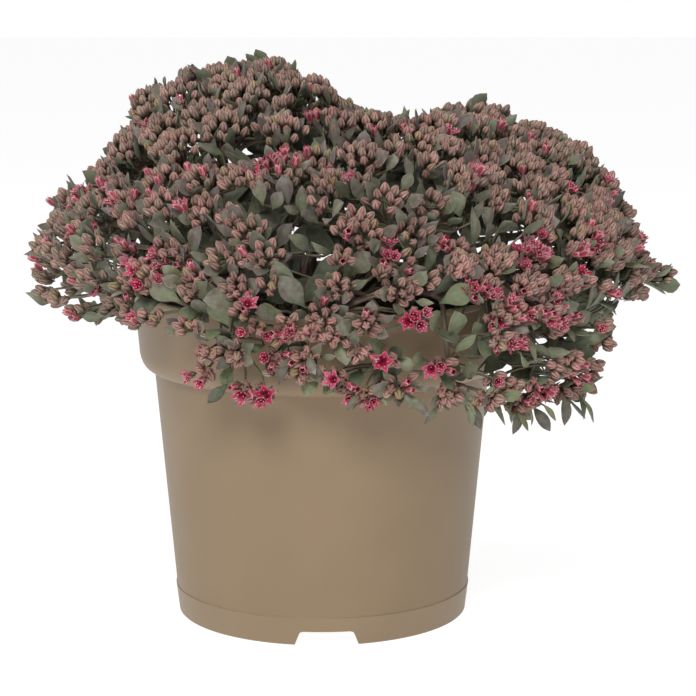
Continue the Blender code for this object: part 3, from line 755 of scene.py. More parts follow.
@dataclass(frozen=True)
class PetalTissue(Finish):
    """Petals: crimson inside, pale outside with a deep pink middle stripe, and pale edges.

    The organ attribute's second value runs from the outside's middle (0) over the edge (0.5) to
    the inside's middle (1).
    """

    name: str = "stonecrop_petal"
    roughness: float = 0.5
    inside: str = "#B5174A"
    inside_pale: str = "#CC869A"
    outside: str = "#B58C80"
    stripe: str = "#A6304F"
    edge: str = "#D9A5AA"
    throat: str = "#8C0F38"
    cells_mm: float = 0.5

    def make(self) -> bpy.types.Material:
        """Builds the material from the marks on each petal, with a bump of fine cells."""
        coat = Coat(self)
        along, side, chance, pale = coat.marks()
        inside = coat.cover(
            self.inside,
            Layer(pale, self.inside_pale),
            Layer(along, self.throat, 0.45, 0.0))
        to_edge = add_node(coat.tree, "ShaderNodeMath", {0: side, 1: 0.5}, operation="PINGPONG")
        colour = coat.cover(
            self.outside,
            Layer(side, self.stripe, 0.26, 0.06),
            Layer(side, inside, 0.5, 0.6),
            Layer(to_edge.outputs[0], self.edge, 0.28, 0.48, 0.8))
        cells = add_node(coat.tree, "ShaderNodeTexNoise", {
            "Vector": coat.place, "Scale": 1000 / self.cells_mm, "Detail": 2.0})
        varied = coat.vary(colour, chance, 0.85, 1.18)
        return coat.complete(varied, cells.outputs["Fac"], 0.2, 0.1)


@dataclass(frozen=True)
class StamenTissue(Finish):
    """Filaments and carpels, crimson, with pale pink anthers dusted with pollen."""

    name: str = "stonecrop_stamen"
    roughness: float = 0.55
    filament: str = "#C6305F"
    carpel: str = "#A01A48"
    anther: str = "#E0B0B4"
    pollen_mm: float = 0.4

    def make(self) -> bpy.types.Material:
        """Builds the material; the first mark is 1 on anthers, the second 1 on carpels."""
        coat = Coat(self)
        anther, carpel = coat.marks()[:2]
        colour = coat.cover(self.filament, Layer(carpel, self.carpel), Layer(anther, self.anther))
        pollen = add_node(coat.tree, "ShaderNodeTexNoise", {
            "Vector": coat.place, "Scale": 1000 / self.pollen_mm, "Detail": 2.0})
        return coat.complete(colour, pollen.outputs["Fac"], 0.3, 0.1)


@dataclass(frozen=True)
class WaxyLeaf(Finish):
    """A succulent leaf: grey-green under a waxy bloom, flushed purple-brown where sun meets it."""

    name: str = "waxy_leaf"
    roughness: float = 0.52
    sheen: float = 0.12
    sheen_roughness: float = 0.5
    green: str = "#677254"
    olive: str = "#75804F"
    flush: str = "#6A5858"
    wax: str = "#999E87"
    under: str = "#7E886B"
    edge: str = "#A8938A"
    speck: str = "#54433F"
    midrib: str = "#8E9A7C"
    flush_mm: float = 8.0
    bloom_mm: float = 1000 / 330
    speck_mm: float = 1000 / 900

    def make(self) -> bpy.types.Material:
        """Builds the material from the marks on each leaf and patches in the bloom."""
        coat = Coat(self)
        feed(coat.shader, {"Sheen Weight": self.sheen, "Sheen Roughness": self.sheen_roughness})
        along, side, chance, flushed = coat.marks()
        # The flush gathers in patches and towards the tip
        patch = add_node(coat.tree, "ShaderNodeTexNoise", {
            "Vector": coat.place, "Scale": 1000 / self.flush_mm, "Detail": 3.0})
        spread = add_node(coat.tree, "ShaderNodeMath", {0: patch.outputs["Fac"], 1: along},
                          operation="ADD")
        gathered = add_node(coat.tree, "ShaderNodeMapRange", {
            "Value": spread.outputs[0], "From Min": 0.45, "From Max": 1.25, "To Max": 1.7})
        amount = add_node(coat.tree, "ShaderNodeMath",
                          {0: gathered.outputs["Result"], 1: flushed}, operation="MULTIPLY")
        upper = coat.cover(
            self.green,
            Layer(chance, self.olive),
            Layer(amount.outputs[0], self.flush),
            Layer(side, self.midrib, 0.93, 1.0, 0.45))
        # The bloom rubs off in patches, and specks and paler edges show on both sides
        rubbed = add_node(coat.tree, "ShaderNodeTexNoise", {
            "Vector": coat.place, "Scale": 1000 / self.bloom_mm, "Detail": 4.0})
        specks = add_node(coat.tree, "ShaderNodeTexVoronoi", {
            "Vector": coat.place, "Scale": 1000 / self.speck_mm})
        to_edge = add_node(coat.tree, "ShaderNodeMath", {0: side, 1: 0.5}, operation="PINGPONG")
        colour = coat.cover(
            self.under,
            Layer(side, upper, 0.45, 0.55),
            Layer(rubbed.outputs["Fac"], self.wax, 0.38, 0.70, 0.5),
            Layer(specks.outputs["Distance"], self.speck, 0.20, 0.10, 0.45),
            Layer(to_edge.outputs[0], self.edge, 0.40, 0.49, 0.75))
        # Each leaf is lighter or darker by its chance value; the leaves inside the mound take only
        # low values, so this paints them darker as painted shade
        varied = coat.vary(colour, chance, 0.62, 1.10)
        return coat.complete(varied, rubbed.outputs["Fac"], 0.3, 0.25)


@dataclass(frozen=True)
class StemSkin(Finish):
    """Succulent stems: brownish purple, greener in stretches, faintly waxy."""

    name: str = "stonecrop_stem"
    roughness: float = 0.5
    brown: str = "#6E5850"
    green: str = "#7B7D5E"
    scar: str = "#4F3B38"
    stretch_mm: float = 1000 / 60
    scar_mm: float = 1000 / 700

    def make(self) -> bpy.types.Material:
        """Builds the material: long stretches of brown and green, with darker scars."""
        coat = Coat(self)
        stretches = add_node(coat.tree, "ShaderNodeTexNoise", {
            "Vector": coat.place, "Scale": 1000 / self.stretch_mm, "Detail": 2.0})
        scars = add_node(coat.tree, "ShaderNodeTexNoise", {
            "Vector": coat.place, "Scale": 1000 / self.scar_mm, "Detail": 3.0})
        colour = coat.cover(
            self.brown,
            Layer(stretches.outputs["Fac"], self.green, 0.38, 0.62),
            Layer(scars.outputs["Fac"], self.scar, 0.58, 0.68, 0.6))
        return coat.complete(colour, scars.outputs["Fac"], 0.4, 0.2)


@dataclass(frozen=True)
class StudioPaper(Finish):
    """White background paper: quite matt, with no pattern to draw the eye."""

    name: str = "studio_paper"
    roughness: float = 0.9
    white: str = "#FFFFFF"
    grey: str = "#808080"
    gloss: float = 0.1
    glow: float = 0.93
    grain_mm: float = 4.0

    def make(self) -> bpy.types.Material:
        """Builds the material, with a very faint grain in the paper."""
        coat = Coat(self)
        grain = add_node(coat.tree, "ShaderNodeTexNoise", {
            "Vector": coat.place, "Scale": 1000 / self.grain_mm})
        feed(coat.shader, {"Specular IOR Level": self.gloss, "Emission Color": self.white,
                           "Emission Strength": self.glow})
        return coat.complete(self.grey, grain.outputs["Fac"], 0.05, 0.1)


# ---------------------------------------------------------------- organs of the plant


Marks = tuple[float, float, float, float]
Form = Callable[[float, float], tuple[Vector, Marks]]


def moulded(name: str, segments: int, rings: int, form: Form) -> bpy.types.Mesh:
    """Shapes a closed ball into an organ.

    Args:
        name: The mesh's name.
        segments: Points round the ball.
        rings: Steps from the ball's foot to its top.
        form: Gives the place and the marks of the point at a share of the way up and an angle.

    Returns:
        The mesh, with its marks in the organ attribute.
    """
    bm = bmesh.new()
    bmesh.ops.create_uvsphere(bm, u_segments=segments, v_segments=rings, radius=1)
    marks = bm.verts.layers.float_color.new(ORGAN)
    for v in bm.verts:
        share = 1 - math.acos(clamp(v.co.z, -1, 1)) / math.pi
        v.co, v[marks] = form(share, math.atan2(v.co.y, v.co.x) + math.pi / segments)
    bmesh.ops.recalc_face_normals(bm, faces=bm.faces)
    return mesh_of(bm, name)


def flask(name: str, segments: int, radius: float, radii: tuple[float, ...],
          heights: tuple[float, ...], marks: Marks) -> bpy.types.Mesh:
    """Shapes a round organ.

    Args:
        name: The mesh's name.
        segments: Points round it.
        radius: Its widest radius.
        radii: Shares of that radius, from its foot to its tip.
        heights: Heights, from its foot to its tip.
        marks: What its organ attribute holds.

    Returns:
        The mesh.
    """

    def form(share: float, angle: float) -> tuple[Vector, Marks]:
        """Gives a point of the organ."""
        return round_z(radius * table(radii, share), angle, table(heights, share)), marks

    return moulded(name, segments, len(radii) - 1, form)


def arc(length: float, start: float, end: float, share: float) -> tuple[Vector, Vector]:
    """Follows a line that bends evenly in the XZ plane.

    Args:
        length: The line's length.
        start: Its angle from +Z towards +X at its start, in radians.
        end: Its angle at its end.
        share: How far along it, from 0 to 1.

    Returns:
        The point, and the direction that faces away from the bend's outer side.
    """
    place = Vector()
    steps = 8
    for k in range(steps):
        angle = start + (end - start) * share * (k + 0.5) / steps
        place += Vector((math.sin(angle), 0, math.cos(angle))) * (length * share / steps)
    angle = start + (end - start) * share
    return place, Vector((-math.cos(angle), 0, math.sin(angle)))


@dataclass(frozen=True)
class BudShape:
    """A five-ribbed pointed bud on its stalk, with its foot at the origin and its tip up."""

    length: float = BUD_LENGTH
    radius: float = 2.05 * MM
    stalk: float = 8.0 * MM
    rib: float = 0.15
    round_share: float = 0.3
    radii: tuple[float, ...] = (0.0, 0.32, 0.95, 0.98, 0.60, 0.0)
    heights: tuple[float, ...] = (0.0, 0.0, 0.20, 0.52, 0.83, 1.0)

    def make(self) -> bpy.types.Mesh:
        """Makes the bud's mesh: ten points round, so that ribs and seams take turns."""

        def form(share: float, angle: float) -> tuple[Vector, Marks]:
            """Gives a point of the bud."""
            crest = 0.5 + 0.5 * math.cos(5 * angle)
            radius = self.radius * table(self.radii, share)
            if share > self.round_share:
                radius *= 1 + self.rib * (2 * crest - 1)
            at_foot = share < 0.01
            height = -self.stalk if at_foot else self.length * table(self.heights, share)
            return round_z(radius, angle, height), (max(0.0, height) / self.length, crest, 0, 0)

        return moulded("bud", 10, len(self.radii) - 1, form)


@dataclass(frozen=True)
class BladeShape:
    """A leaf, bract or petal: a thin closed blade along a bent midrib, from the origin.

    It starts up +Z and faces -X; a bend above zero turns it towards +X, away from its face.
    """

    length: float
    width: float
    thickness: float
    lean: float
    bend: float
    cup: float
    widths: tuple[float, ...]
    segments: int = 8
    rings: int = 8

    def form(self, share: float, angle: float) -> tuple[Vector, Marks]:
        """Gives a point of the blade and its marks."""
        wide = self.width / 2 * table(self.widths, share)
        middle, face = arc(self.length, self.lean, self.lean + self.bend, share)
        across = wide * math.cos(angle)
        thick = self.thickness / 2 * math.sin(angle) * min(1.0, 3.2 * table(self.widths, share))
        lift = self.cup * across * across / max(self.width / 2, 1e-6)
        place = middle + Vector((0, across, 0)) + face * (thick + lift)
        return place, (share, 0.5 + 0.5 * math.sin(angle), 0, 0)

    def make(self, name: str) -> bpy.types.Mesh:
        """Makes the blade's mesh."""
        return moulded(name, self.segments, self.rings, self.form)


SPOON = (0.0, 0.17, 0.40, 0.72, 0.93, 1.0, 0.88, 0.52, 0.0)
OVAL = (0.0, 0.30, 0.66, 0.92, 1.0, 0.95, 0.76, 0.42, 0.0)
LANCE = (0.0, 0.34, 0.66, 0.92, 1.0, 0.88, 0.62, 0.31, 0.0)
PETAL = (0.0, 0.72, 1.0, 0.94, 0.60, 0.0)


class Opening(Enum):
    """How far a flower has opened."""

    STRIPED = "striped"
    CUP = "cup"
    STAR = "star"


class FlowerMeshes(NamedTuple):
    """The parts of one open flower: its petals, and its carpels with their stamens."""

    petals: bpy.types.Mesh
    heart: bpy.types.Mesh


@dataclass(frozen=True)
class FlowerShape:
    """A five-petalled flower with its foot at the origin, facing up."""

    opening: Opening
    petal_length: float = 6.4 * MM
    petal_width: float = 2.7 * MM
    petal_cup: float = 0.28
    spread: float = 0.55 * MM
    carpel_height: float = 3.68 * MM
    stamen_height: float = 5.06 * MM

    def make(self) -> FlowerMeshes:
        """Makes the flower's meshes for its stage: its petals' lean and bend, its stamens' tilt."""
        lean, bend, tilt = {
            Opening.STRIPED: (24, -42, None),
            Opening.CUP: (19, 2, 18),
            Opening.STAR: (30, 22, 28),
        }[self.opening]
        petals = bmesh.new()
        blade = BladeShape(self.petal_length, self.petal_width, 0.55 * MM, math.radians(lean),
                           math.radians(bend), self.petal_cup, PETAL, 6, 5).make("petal")
        self.ring(petals, blade, 5, 0.0, Matrix.Translation((self.spread, 0, 0.3 * MM)))
        return FlowerMeshes(mesh_of(petals, "petals"), self.make_heart(tilt))

    @staticmethod
    def ring(bm: bmesh.types.BMesh, template: bpy.types.Mesh, count: int, first: float,
             place: Matrix) -> None:
        """Sets copies of an organ round the flower's axis.

        Args:
            bm: What takes them.
            template: The organ.
            count: How many.
            first: The first one's turn, as a share of a step.
            place: Where the organ stands before it is turned.
        """
        for k in range(count):
            stamp(bm, template, Matrix.Rotation((k + first) * math.tau / count, 4, "Z") @ place)

    def make_heart(self, tilt: float | None) -> bpy.types.Mesh:
        """Makes five carpels and, where they have a tilt, ten stamens in two rings."""
        heart = bmesh.new()
        carpel = flask("carpel", 4, 0.62 * MM, (0.0, 1.0, 0.55, 0.0),
                       tuple(self.carpel_height * h for h in (0.0, 0.3, 0.65, 1.0)), (0, 1, 0, 0))
        leaning = Matrix.Rotation(math.radians(12), 4, "Y")
        self.ring(heart, carpel, 5, 0.5, Matrix.Translation((self.spread, 0, 0.5 * MM)) @ leaning)
        if tilt is None:
            return mesh_of(heart, "heart")
        top = self.stamen_height
        filament = flask("filament", 3, 0.20 * MM, (0.0, 1.0, 0.0), (0.0, top), (0, 0, 0, 0))
        anther = flask("anther", 4, 0.34 * MM, (0.0, 1.0, 0.0),
                       (top - 0.36 * MM, top + 0.54 * MM), (1, 0, 0, 0))
        for first, more in ((0.0, -5), (0.5, 7)):
            for organ in (filament, anther):
                place = Matrix.Rotation(math.radians(tilt + more), 4, "Y")
                self.ring(heart, organ, 5, first, place)
        return mesh_of(heart, "heart")


def stamp(bm: bmesh.types.BMesh, template: bpy.types.Mesh, place: Matrix) -> None:
    """Adds a copy of a small mesh to a bmesh, moved by a matrix."""
    copy = template.copy()
    copy.transform(place)
    bm.from_mesh(copy)
    bpy.data.meshes.remove(copy)


class Stamper:
    """Collects copies of small meshes as one mesh, each copy with its own two tints."""

    def __init__(self) -> None:
        """Starts with nothing stamped."""
        self.bm = bmesh.new()
        self.counts: list[int] = []
        self.tints: list[tuple[float, float]] = []

    def add(self, template: bpy.types.Mesh, place: Matrix, chance: float, stage: float) -> None:
        """Stamps one copy.

        Args:
            template: The small mesh.
            place: Where the copy goes.
            chance: The copy's own chance value, for small differences of colour, and held low for
                the leaves inside the mound as painted shade.
            stage: How ripe, pale or flushed the copy is, from 0 to 1.
        """
        stamp(self.bm, template, place)
        self.counts.append(len(template.vertices))
        self.tints.append((chance, clamp(stage)))

    def finish(self, name: str) -> bpy.types.Mesh:
        """Gives the collected mesh, with every copy's tints written to its points."""
        mesh = mesh_of(self.bm, name)
        if self.counts:
            marks = mesh.attributes[ORGAN].data
            values = np.zeros(len(mesh.vertices) * 4, np.float32)
            marks.foreach_get("color", values)
            values = values.reshape(-1, 4)
            values[:, 2:] = np.repeat(np.array(self.tints, np.float32), self.counts, axis=0)
            marks.foreach_set("color", values.ravel())
        return mesh


def facing(axis: Vector, spin: float) -> Matrix:
    """Gives a turn that brings +Z to an axis, then spins about it."""
    turn = axis.to_track_quat("Z", "Y").to_matrix().to_4x4()
    return turn @ Matrix.Rotation(spin, 4, "Z")


def blade_place(foot: Vector, along: Vector, face: Vector) -> Matrix:
    """Places a blade with its foot at a point, its midrib along one way and its face to another."""
    z = along.normalized()
    x = -(face - z * face.dot(z)).normalized()
    y = z.cross(x)
    place = Matrix((x, y, z)).transposed().to_4x4()
    place.translation = foot
    return place


class Tubes:
    """Collects lines as round tubes in one curve, which becomes a mesh."""

    def __init__(self, sides: int) -> None:
        """Starts an empty curve; sides is how fine the tubes are, 0 for four-sided."""
        self.curve = bpy.data.curves.new("tubes", "CURVE")
        self.curve.dimensions = "3D"
        self.curve.bevel_depth = 1.0
        self.curve.bevel_resolution = sides
        self.curve.use_fill_caps = True

    def add(self, points: list[Vector], thick: float, thin: float) -> None:
        """Adds a tube along points, from one radius to another."""
        spline = self.curve.splines.new("POLY")
        spline.points.add(len(points) - 1)
        for k, point in enumerate(points):
            spline.points[k].co = (*point, 1)
            spline.points[k].radius = thick + (thin - thick) * k / (len(points) - 1)

    def finish(self, name: str) -> bpy.types.Mesh:
        """Gives the tubes as one mesh, with the seam at each cap closed."""
        mesh = evaluated(linked("tubes", self.curve), name)
        bm = bmesh.new()
        bm.from_mesh(mesh)
        bpy.data.meshes.remove(mesh)
        bmesh.ops.remove_doubles(bm, verts=bm.verts, dist=0.0005 * MM)
        bmesh.ops.recalc_face_normals(bm, faces=bm.faces)
        return mesh_of(bm, name)


# ---------------------------------------------------------------- the plant


@dataclass(frozen=True)
class Habit:
    """How a head grows: its buds to a cyme, how loose, ripe and pale it is, and how sparse."""

    buds: int
    airy: float
    flowering: float
    ripe: float
    pale: float
    sparse: float


class Cyme(NamedTuple):
    """One cyme while it grows: its head, its middle and size, and where its stalks meet."""

    head: Head
    habit: Habit
    lump: Vector
    size: float
    radius: float
    drop: float
    joint: Vector
    chance: random.Random


class Dip(NamedTuple):
    """A dip in the top edge, in mm, and how fast it deepens upwards and where that starts."""

    x: float
    depth: float
    spread: float
    steep: float
    start: float


@dataclass
class Stonecrop:
    """The whole plant above the compost: heads of buds and flowers, leaves and stems."""

    plan: MoundPlan
    cyme_radius: float = 11.0 * MM
    cyme_lift: tuple[float, float] = (-3.5 * MM, 3.0 * MM)
    cyme_drop: float = 8.0 * MM
    cyme_depth: float = 15.5 * MM
    trail_cyme_depth: float = 12.0 * MM
    bud_pitch: float = 4.05 * MM
    flower_room: float = 5.6 * MM
    twin_gap: float = 3.0 * MM
    stalks: tuple[float, ...] = (1.5 * MM, 5.0 * MM, 9.0 * MM, 13.0 * MM)
    gap_leaf_trials: int = 3600
    gap_leaf_apart: float = 6.8 * MM
    gap_look: tuple[float, float] = (30.0 * MM, 12.0 * MM)
    shade_leaves: int = 15
    bract_length: float = 11.0 * MM
    leaf_length: float = 21.0 * MM
    fewest_buds: int = 6
    trail_flowering: float = 0.4
    open_shares: tuple[float, float] = (0.12, 0.12)
    rare_shares: tuple[float, float] = (0.006, 0.02)
    loose_airy: float = 0.45
    root_depth: float = 6.0 * MM
    stem_radii: tuple[float, float] = (1.7 * MM, 1.2 * MM)
    branch_radii: tuple[float, float] = (1.15 * MM, 0.75 * MM)
    bud_twig: tuple[float, float] = (0.45 * MM, 0.34 * MM)
    flower_twig: tuple[float, float] = (0.5 * MM, 0.4 * MM)
    fringe_twig: tuple[float, float] = (0.6 * MM, 0.45 * MM)
    shade_twig: tuple[float, float] = (0.7 * MM, 0.5 * MM)
    petiole: tuple[float, float] = (0.8 * MM, 0.55 * MM)
    hang_tilt: float = 0.17
    hang_line: tuple[tuple[float, float], ...] = (
        (-142, 159), (-122, 141), (-60.001, 141), (-60, 104), (50, 104), (60, 94), (130, 94),
        (157.5, 160))
    shoulder_lift: float = 4.0
    dips: tuple[Dip, ...] = (Dip(-108, 8, 10, 3, 0), Dip(1, 10, 11, 4, 2), Dip(95, 8, 14, 4, 1))

    def __post_init__(self) -> None:
        """Makes the templates that every quarter is stamped from."""
        self.buds = [BudShape(stalk=stalk).make() for stalk in self.stalks]
        self.calyx = BudShape(length=3.0 * MM, radius=1.75 * MM, rib=0.16, stalk=1.5 * MM,
                              radii=(0.0, 0.30, 0.80, 1.0, 0.86, 0.0),
                              heights=(0.0, 0.0, 0.35, 0.75, 0.72, 0.30)).make()
        self.flowers = {opening: FlowerShape(opening).make() for opening in Opening}
        self.broad = self.blades(self.leaf_length, 1.3 * MM, 8, 8, (
            (12.5, -8, 34, 0.30, SPOON), (11.0, 4, -26, 0.34, SPOON),
            (13.5, -4, 22, 0.22, SPOON), (11.5, 0, 10, 0.42, SPOON)))
        self.slim = self.blades(self.leaf_length, 1.2 * MM, 8, 8, (
            (8.5, -6, 34, 0.38, OVAL), (6.5, -5, 26, 0.40, LANCE), (7.5, 3, -20, 0.36, OVAL)))
        self.shade = self.blades(self.leaf_length, 1.0 * MM, 6, 5, (
            (12.0, -6, 26, 0.30, SPOON), (10.0, 4, -20, 0.34, OVAL)))
        self.bracts = self.blades(self.bract_length, 1.0 * MM, 6, 6, (
            (4.2, -6, 24, 0.35, LANCE), (5.2, 4, -22, 0.35, OVAL), (6.0, -4, 14, 0.30, SPOON)))
        self.heads_tree = self.tree_of_heads()

    @staticmethod
    def blades(length: float, thickness: float, segments: int, rings: int,
               kinds: tuple) -> list[bpy.types.Mesh]:
        """Makes several blades of one length.

        Args:
            length: Their length.
            thickness: Their thickness.
            segments: Points round each.
            rings: Steps along each.
            kinds: For each, its width in mm, lean and bend in degrees, cup and shape.

        Returns:
            Their meshes.
        """
        return [
            BladeShape(length, width * MM, thickness, math.radians(lean), math.radians(bend),
                       cup, shape, segments, rings).make("blade")
            for width, lean, bend, cup, shape in kinds
        ]

    def tree_of_heads(self) -> BVHTree:
        """Gives the surfaces of all the solid heads, to find the gaps between them."""
        points: list[Vector] = []
        faces: list[tuple[int, ...]] = []
        for name, node in frame["nodes"].items():
            if name.startswith("head_"):
                first = len(points)
                points += [v.co.copy() for v in node.data.vertices]
                faces += [tuple(first + k for k in f.vertices) for f in node.data.polygons]
        return BVHTree.FromPolygons(points, faces)

    def habit_of(self, head: Head, chance: random.Random) -> Habit:
        """Gives how a head grows: dense on the humps, loose and in flower low in front.

        Args:
            head: The head.
            chance: Where the small differences come from.

        Returns:
            Its habit.
        """
        way = head.way
        place = self.plan.point(way, 0) / MM
        # Loose low in front, looser on the far left wing, and loose where the plant hangs
        middle = ramp(abs(place.x), 98, 58) * ramp(place.y, -20, -65) * ramp(way.z, 0.85, 0.55)
        wing = ramp(place.x, -85, -115) * clamp(1.15 - 1.4 * way.z)
        airy = max(0.78 * middle, 0.86 * wing)
        if head.trailing or head.out > 0:
            loose_side = place.x < (60 if place.y < 0 else 0)
            airy = max(airy, 0.72 if loose_side else 0.5)
        front = clamp(0.25 - 0.95 * way.y) * clamp(1.15 - way.z)
        # Each bud of a full cyme takes 0.92 of its pitch squared
        full = math.pi * (self.cyme_radius / self.bud_pitch) ** 2 / 0.92
        flowering = (0.04 + 0.34 * front) * clamp(2.4 * (0.95 - way.z))
        return Habit(
            buds=max(self.fewest_buds, round(full * (1 - 0.7 * airy) * chance.uniform(0.92, 1.08))),
            airy=airy,
            flowering=flowering * (self.trail_flowering if head.trailing else 1.0),
            ripe=0.35 + 0.35 * front - 0.35 * wing,
            pale=clamp(0.1 + 0.8 * wing),
            sparse=0.38 * wing,
        )

    def nearest_bud(self, wanted: float) -> bpy.types.Mesh:
        """Gives the bud whose stalk is nearest to the wanted length."""
        return min(zip(self.stalks, self.buds), key=lambda pair: abs(pair[0] - wanted))[1]

    def build(self, finishes: dict[str, bpy.types.Material]) -> None:
        """Builds every quarter of the plant.

        Args:
            finishes: The materials, by the name of the kind of piece.
        """
        gaps = self.find_gaps()
        for quarter in Quarter:
            grown = QuarterGrowth(self, quarter)
            members = [i for i, head in enumerate(self.plan.heads)
                       if self.plan.quarter_of(head) is quarter]
            for i in members:
                grown.grow_head(i)
                grown.grow_shade_leaves(i)
            for way, owner in gaps:
                if owner in members:
                    grown.fill_gap(way, owner)
            grown.finish(members, finishes)

    def find_gaps(self) -> list[tuple[Vector, int]]:
        """Finds directions in which no solid head covers the mound, and the nearest head."""
        gaps: list[tuple[Vector, int]] = []
        places: list[Vector] = []
        for k in range(self.gap_leaf_trials):
            rise = 1 - 1.34 * ((k * 0.618034) % 1.0)
            way = round_z(math.sqrt(1 - rise * rise), k * GOLDEN_ANGLE * 1.37, rise)
            start = self.plan.point(way, -self.gap_look[0])
            aim = self.plan.point(way, self.gap_look[1]) - start
            if self.heads_tree.ray_cast(start, aim.normalized(), aim.length)[0]:
                continue
            place = self.plan.point(way, 0)
            if any((place - other).length < self.gap_leaf_apart for other in places):
                continue
            places.append(place)
            near = max(range(len(self.plan.heads)), key=lambda i: way.dot(self.plan.heads[i].way))
            gaps.append((way, near))
        log.info("gaps between heads: %d", len(gaps))
        return gaps


